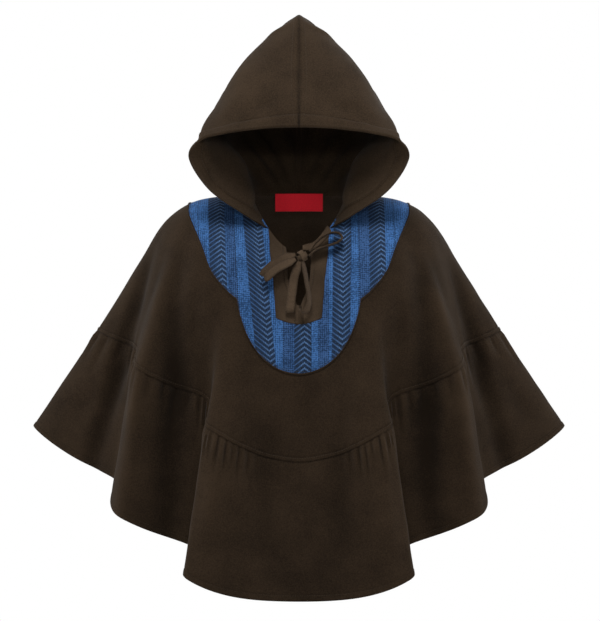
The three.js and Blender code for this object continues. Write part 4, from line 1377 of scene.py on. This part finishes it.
class CapeYokeOperator(bpy.types.Operator):
    """Make the striped yoke and the piping along its edge"""

    bl_idname = "cape.yoke"
    bl_label = "Make the yoke"

    def execute(self, context):
        sizes, colours = groups(context)[:2]
        stripes = material_once("chevron_stripes", striped_cloth, colours)
        cloth = body_material(colours)
        thread = thread_material(colours)
        last = SIDE_ANGLE - SIDE_GAP
        angles = even_angles(-last, last, yoke_edge, 0.8 * sizes.spacing / MM)
        start, end = yoke_start(angles), yoke_edge(angles) - SEAM_GAP / 2
        reach = rows_between(start, end, PLAIN_EDGE, PLAIN_EDGE, sizes.spacing / MM)
        panel = body_panel(angles, reach, sizes)
        points = panel.outer
        cut = np.stack([points[..., 0], fall_lengths(angles, reach), THROAT_HEIGHT - points[..., 2]], axis=-1)
        yoke = cloth_piece("yoke_cloth", panel, stripes, "yoke", cut=cut)

        half, rise = sizes.piping / MM / 2, sizes.piping_rise / MM
        place = np.sin(np.linspace(-np.pi / 2, np.pi / 2, 11))[:, None]
        arch = np.sqrt(np.clip(1 - place**2, 0, 1))
        lift = SEAM_GAP + rise * (0.25 + 0.75 * arch) + 0 * angles
        lined = body_panel(angles, yoke_edge(angles) + place * half, sizes, lift, lift - 0.15)
        piping = cloth_piece("yoke_piping_cloth", lined, cloth, "yoke_piping")
        sewing = stitched("yoke_stitches", [row_line(panel, -len(PLAIN_EDGE))], sizes, thread)
        return {"FINISHED"}


class CapePlacketOperator(bpy.types.Operator):
    """Make the two halves of the placket, on each side of the neck slit"""

    bl_idname = "cape.placket"
    bl_label = "Make the placket"

    def execute(self, context):
        sizes, colours = groups(context)[:2]
        trim = material_once("smooth_brown", brushed_cloth, colours.trim_brown, 0.45)
        thread = thread_material(colours)
        slit, edge = np.array(SLIT), np.array(PLACKET_SIDE)[::-1]
        foot = edge[-1, 1] - SEAM_GAP / 2
        near_foot = [foot - 1.6, foot - 0.7, foot]
        reaches = np.concatenate([[0, 0.8, 1.8], np.linspace(3.2, foot - 3, 48), near_foot])
        low = np.interp(reaches, slit[:, 1], slit[:, 0])
        high = np.interp(reaches, edge[:, 1], edge[:, 0]) - 0.15
        columns = 0.5 - 0.5 * np.cos(np.linspace(0, np.pi, 23))
        for name, side in (("placket_left", -1), ("placket_right", 1)):
            rows = []
            for place, a, b in zip(reaches, low, high):
                angles = side * (a + (b - a) * columns)
                rows.append(line_on_body(angles, np.full(len(angles), place)))
            points = np.array(rows)
            normals = grid_normals(points, side)
            flat = sewn(points, normals, 0)
            from_slit = flat.across
            from_side = flat.across[:, -1:] - flat.across
            from_foot = flat.along[-1:] - flat.along
            rim = np.minimum(from_side, from_foot)
            lift = 0.35 + body_relief(points, sizes) + ripple(points, 30, 0.3)
            lift += welt(from_slit, SLIT_STITCH, 0.45) + welt(rim, PLACKET_STITCH, 0.35)
            # Painted shade round the placket's edges and in the stitch line beside the slit.
            tone = -8 * bump(rim, 1.1) - 6 * bump(from_slit - 5.6, 0.9)
            panel = sewn(points + normals * lift[..., None], normals, sizes.wall / MM, tone)
            piece = cloth_piece(name + "_cloth", panel, trim, name, turn=side)
            lines = [
                seam_line(panel, from_slit, SLIT_STITCH), seam_line(panel, -from_side, -PLACKET_STITCH),
            ]
            sewing = stitched(name + "_stitches", lines, sizes, thread, PLACKET_STITCH_LENGTH)
        return {"FINISHED"}


class CapeHoodOperator(bpy.types.Operator):
    """Make the hood's two halves, with the turned band along the front edge"""

    bl_idname = "cape.hood"
    bl_label = "Make the hood"

    def execute(self, context):
        sizes, colours = groups(context)[:2]
        # The hood's cloth is the body's, painted paler as painted light from above.
        cloth = material_once("brushed_hood", brushed_cloth, colours.hood_brown_painted_light, 1.0)
        thread = thread_material(colours)
        spacing, band, wall = sizes.spacing / MM, sizes.band / MM, sizes.wall / MM
        levels = np.concatenate([[0, 0.003, 0.008], np.linspace(0.015, 1, round(HOOD_LENGTH / spacing))])
        middle = np.linspace(0.018, 0.982, round(HOOD_WIDTH / spacing))
        shares = np.concatenate([[0, 0.0025, 0.006, 0.011], middle, [0.989, 0.994, 0.9975, 1]])
        points = hood_grid(levels, shares)
        r = np.minimum(np.arange(len(levels)), np.searchsorted(levels, HOOD_STEADY))
        c = np.minimum(np.arange(len(shares)), np.searchsorted(shares, HOOD_STEADY))
        normals = grid_normals(points, -1)[r][:, c]
        for row in (normals[-1], normals[:, -1]):
            row[:, 0] = 0
        normals = unit(normals)
        points[-1, :, 0] = points[:, -1, 0] = SEAM_CLOSED
        from_rim = sewn(points, normals, 0).across
        from_seam = from_rim[:, -1:] - from_rim
        from_top = np.linalg.norm(points[-1:] - points, axis=-1)
        from_foot = np.linalg.norm(points - points[:1], axis=-1)
        seam = np.minimum(from_seam, from_top)
        for name, side in (("hood_right", 1), ("hood_left", -1)):
            seen = points * (side, 1, 1)
            depth = creased(seen, HOOD_CREASES, hood_place, sizes.crease_strength) * ramp(0, 5, seam)
            lift = depth + ripple(seen, 34, 0.35) + welt(from_rim, band, 1.0) - 1.4 * bump(seam, 1.2)
            lift += 1.5 * np.sqrt(np.clip(1 - (2 * from_rim / band - 1) ** 2, 0, 1)) * ramp(0, 3, seam)
            thick = wall + 0.5 * (1 - ramp(band - 0.9, band + 0.9, from_rim)) - 0.5 * bump(seam, 1.2)
            thick = thick - 0.9 * bump(from_foot, 1.6)
            # Painted shade and light: the creases darker in their troughs and paler on their ridges, and
            # painted shade along the back seam and crown, in the band's stitch line and at the neck seam.
            tone = depth - 10 * bump(seam, 0.7)
            tone -= 6 * (bump(from_rim - band - 0.5, 1.2) + bump(from_foot, 1.5))
            panel = sewn(points + normals * lift[..., None], normals, thick, tone)
            panel.outer[..., 0] = np.maximum(panel.outer[..., 0], SEAM_CLOSED)
            panel.inner[..., 0] = np.maximum(panel.inner[..., 0], SEAM_CLOSED)
            piece = cloth_piece(name + "_cloth", panel, cloth, name, turn=-1, mirror=side < 0)
            skins = (panel, inside_out(panel))
            foot = np.argmin(np.abs(panel.along[:, len(shares) // 2] - NECK_SEAM_STITCH))
            lines = [seam_line(skin, from_rim, away) for away in (band, RIM_STITCH) for skin in skins]
            lines += [seam_line(skins[1], -from_seam, -BACK_SEAM_STITCH)]
            lines += [row_line(skin, row) for row in (-3, foot) for skin in skins]
            if side < 0:
                lines = [mirrored_line(line) for line in lines]
            sewing = stitched(name + "_stitches", lines, sizes, thread)
        return {"FINISHED"}


class CapeLabelOperator(bpy.types.Operator):
    """Hang the bare label inside the back of the neck"""

    bl_idname = "cape.label"
    bl_label = "Hang the label"

    def execute(self, context):
        colours = groups(context)[1]
        half = math.degrees(math.asin(LABEL_WIDTH / 2 / NECK_HALF_WIDTH))
        angles = np.linspace(180 - half, 180 + half, 49)
        drop = np.concatenate([[0, 0.02, 0.05], np.linspace(0.09, 0.95, 14), [0.975, 1]])[:, None]
        top = neck_points(wrapped(angles))
        inward = unit(top * (-1 / NECK_HALF_WIDTH**2, -1 / NECK_BACK**2, 0))
        curl = 0.5 * np.sin(np.radians(angles) * 9) * drop
        out = LABEL_CLEAR - drop * LABEL_LEAN + curl
        points = top[None] + inward[None] * out[..., None]
        points[..., 0] = top[None, :, 0] + inward[None, :, 0] * LABEL_CLEAR
        points[..., 2] = top[None, :, 2] + 1 - drop * LABEL_DROP
        normals = grid_normals(points)
        panel = sewn(points, normals, 0.8)
        red = material_once("red_satin", satin, colours.red)
        piece = cloth_piece("neck_label_cloth", panel, red, "neck_label")
        return {"FINISHED"}


OPERATORS = (
    CapeStageOperator, CapeTieOperator, CapeUpperOperator, CapeFlounceOperator, CapeYokeOperator,
    CapePlacketOperator, CapeHoodOperator, CapeLabelOperator,
)


class CapePanel(bpy.types.Panel):
    """Sizes, colours and the making of the cape"""

    bl_idname = "VIEW3D_PT_cape"
    bl_label = "Cape"
    bl_space_type = "VIEW_3D"
    bl_region_type = "UI"
    bl_category = "Cape"

    def draw(self, context):
        column = self.layout.column()
        for group in groups(context):
            box = column.box()
            for name in group.__annotations__:
                box.prop(group, name)
        for operator in OPERATORS:
            column.operator(operator.bl_idname)


PROPERTY_GROUPS = {"cape_sizes": CapeSizes, "cape_colours": CapeColours, "cape_stage": CapeStage}


def register():
    for name, group in PROPERTY_GROUPS.items():
        bpy.utils.register_class(group)
        setattr(bpy.types.Scene, name, PointerProperty(type=group))
    for made in (*OPERATORS, CapePanel):
        bpy.utils.register_class(made)


def unregister():
    for made in reversed((*OPERATORS, CapePanel)):
        bpy.utils.unregister_class(made)
    for name, group in PROPERTY_GROUPS.items():
        delattr(bpy.types.Scene, name)
        bpy.utils.unregister_class(group)


def main():
    register()
    for step in (
        bpy.ops.cape.stage, bpy.ops.cape.tie, bpy.ops.cape.upper, bpy.ops.cape.flounce,
        bpy.ops.cape.yoke, bpy.ops.cape.placket, bpy.ops.cape.hood, bpy.ops.cape.label,
    ):
        step()


if __name__ == "__main__":
    main()
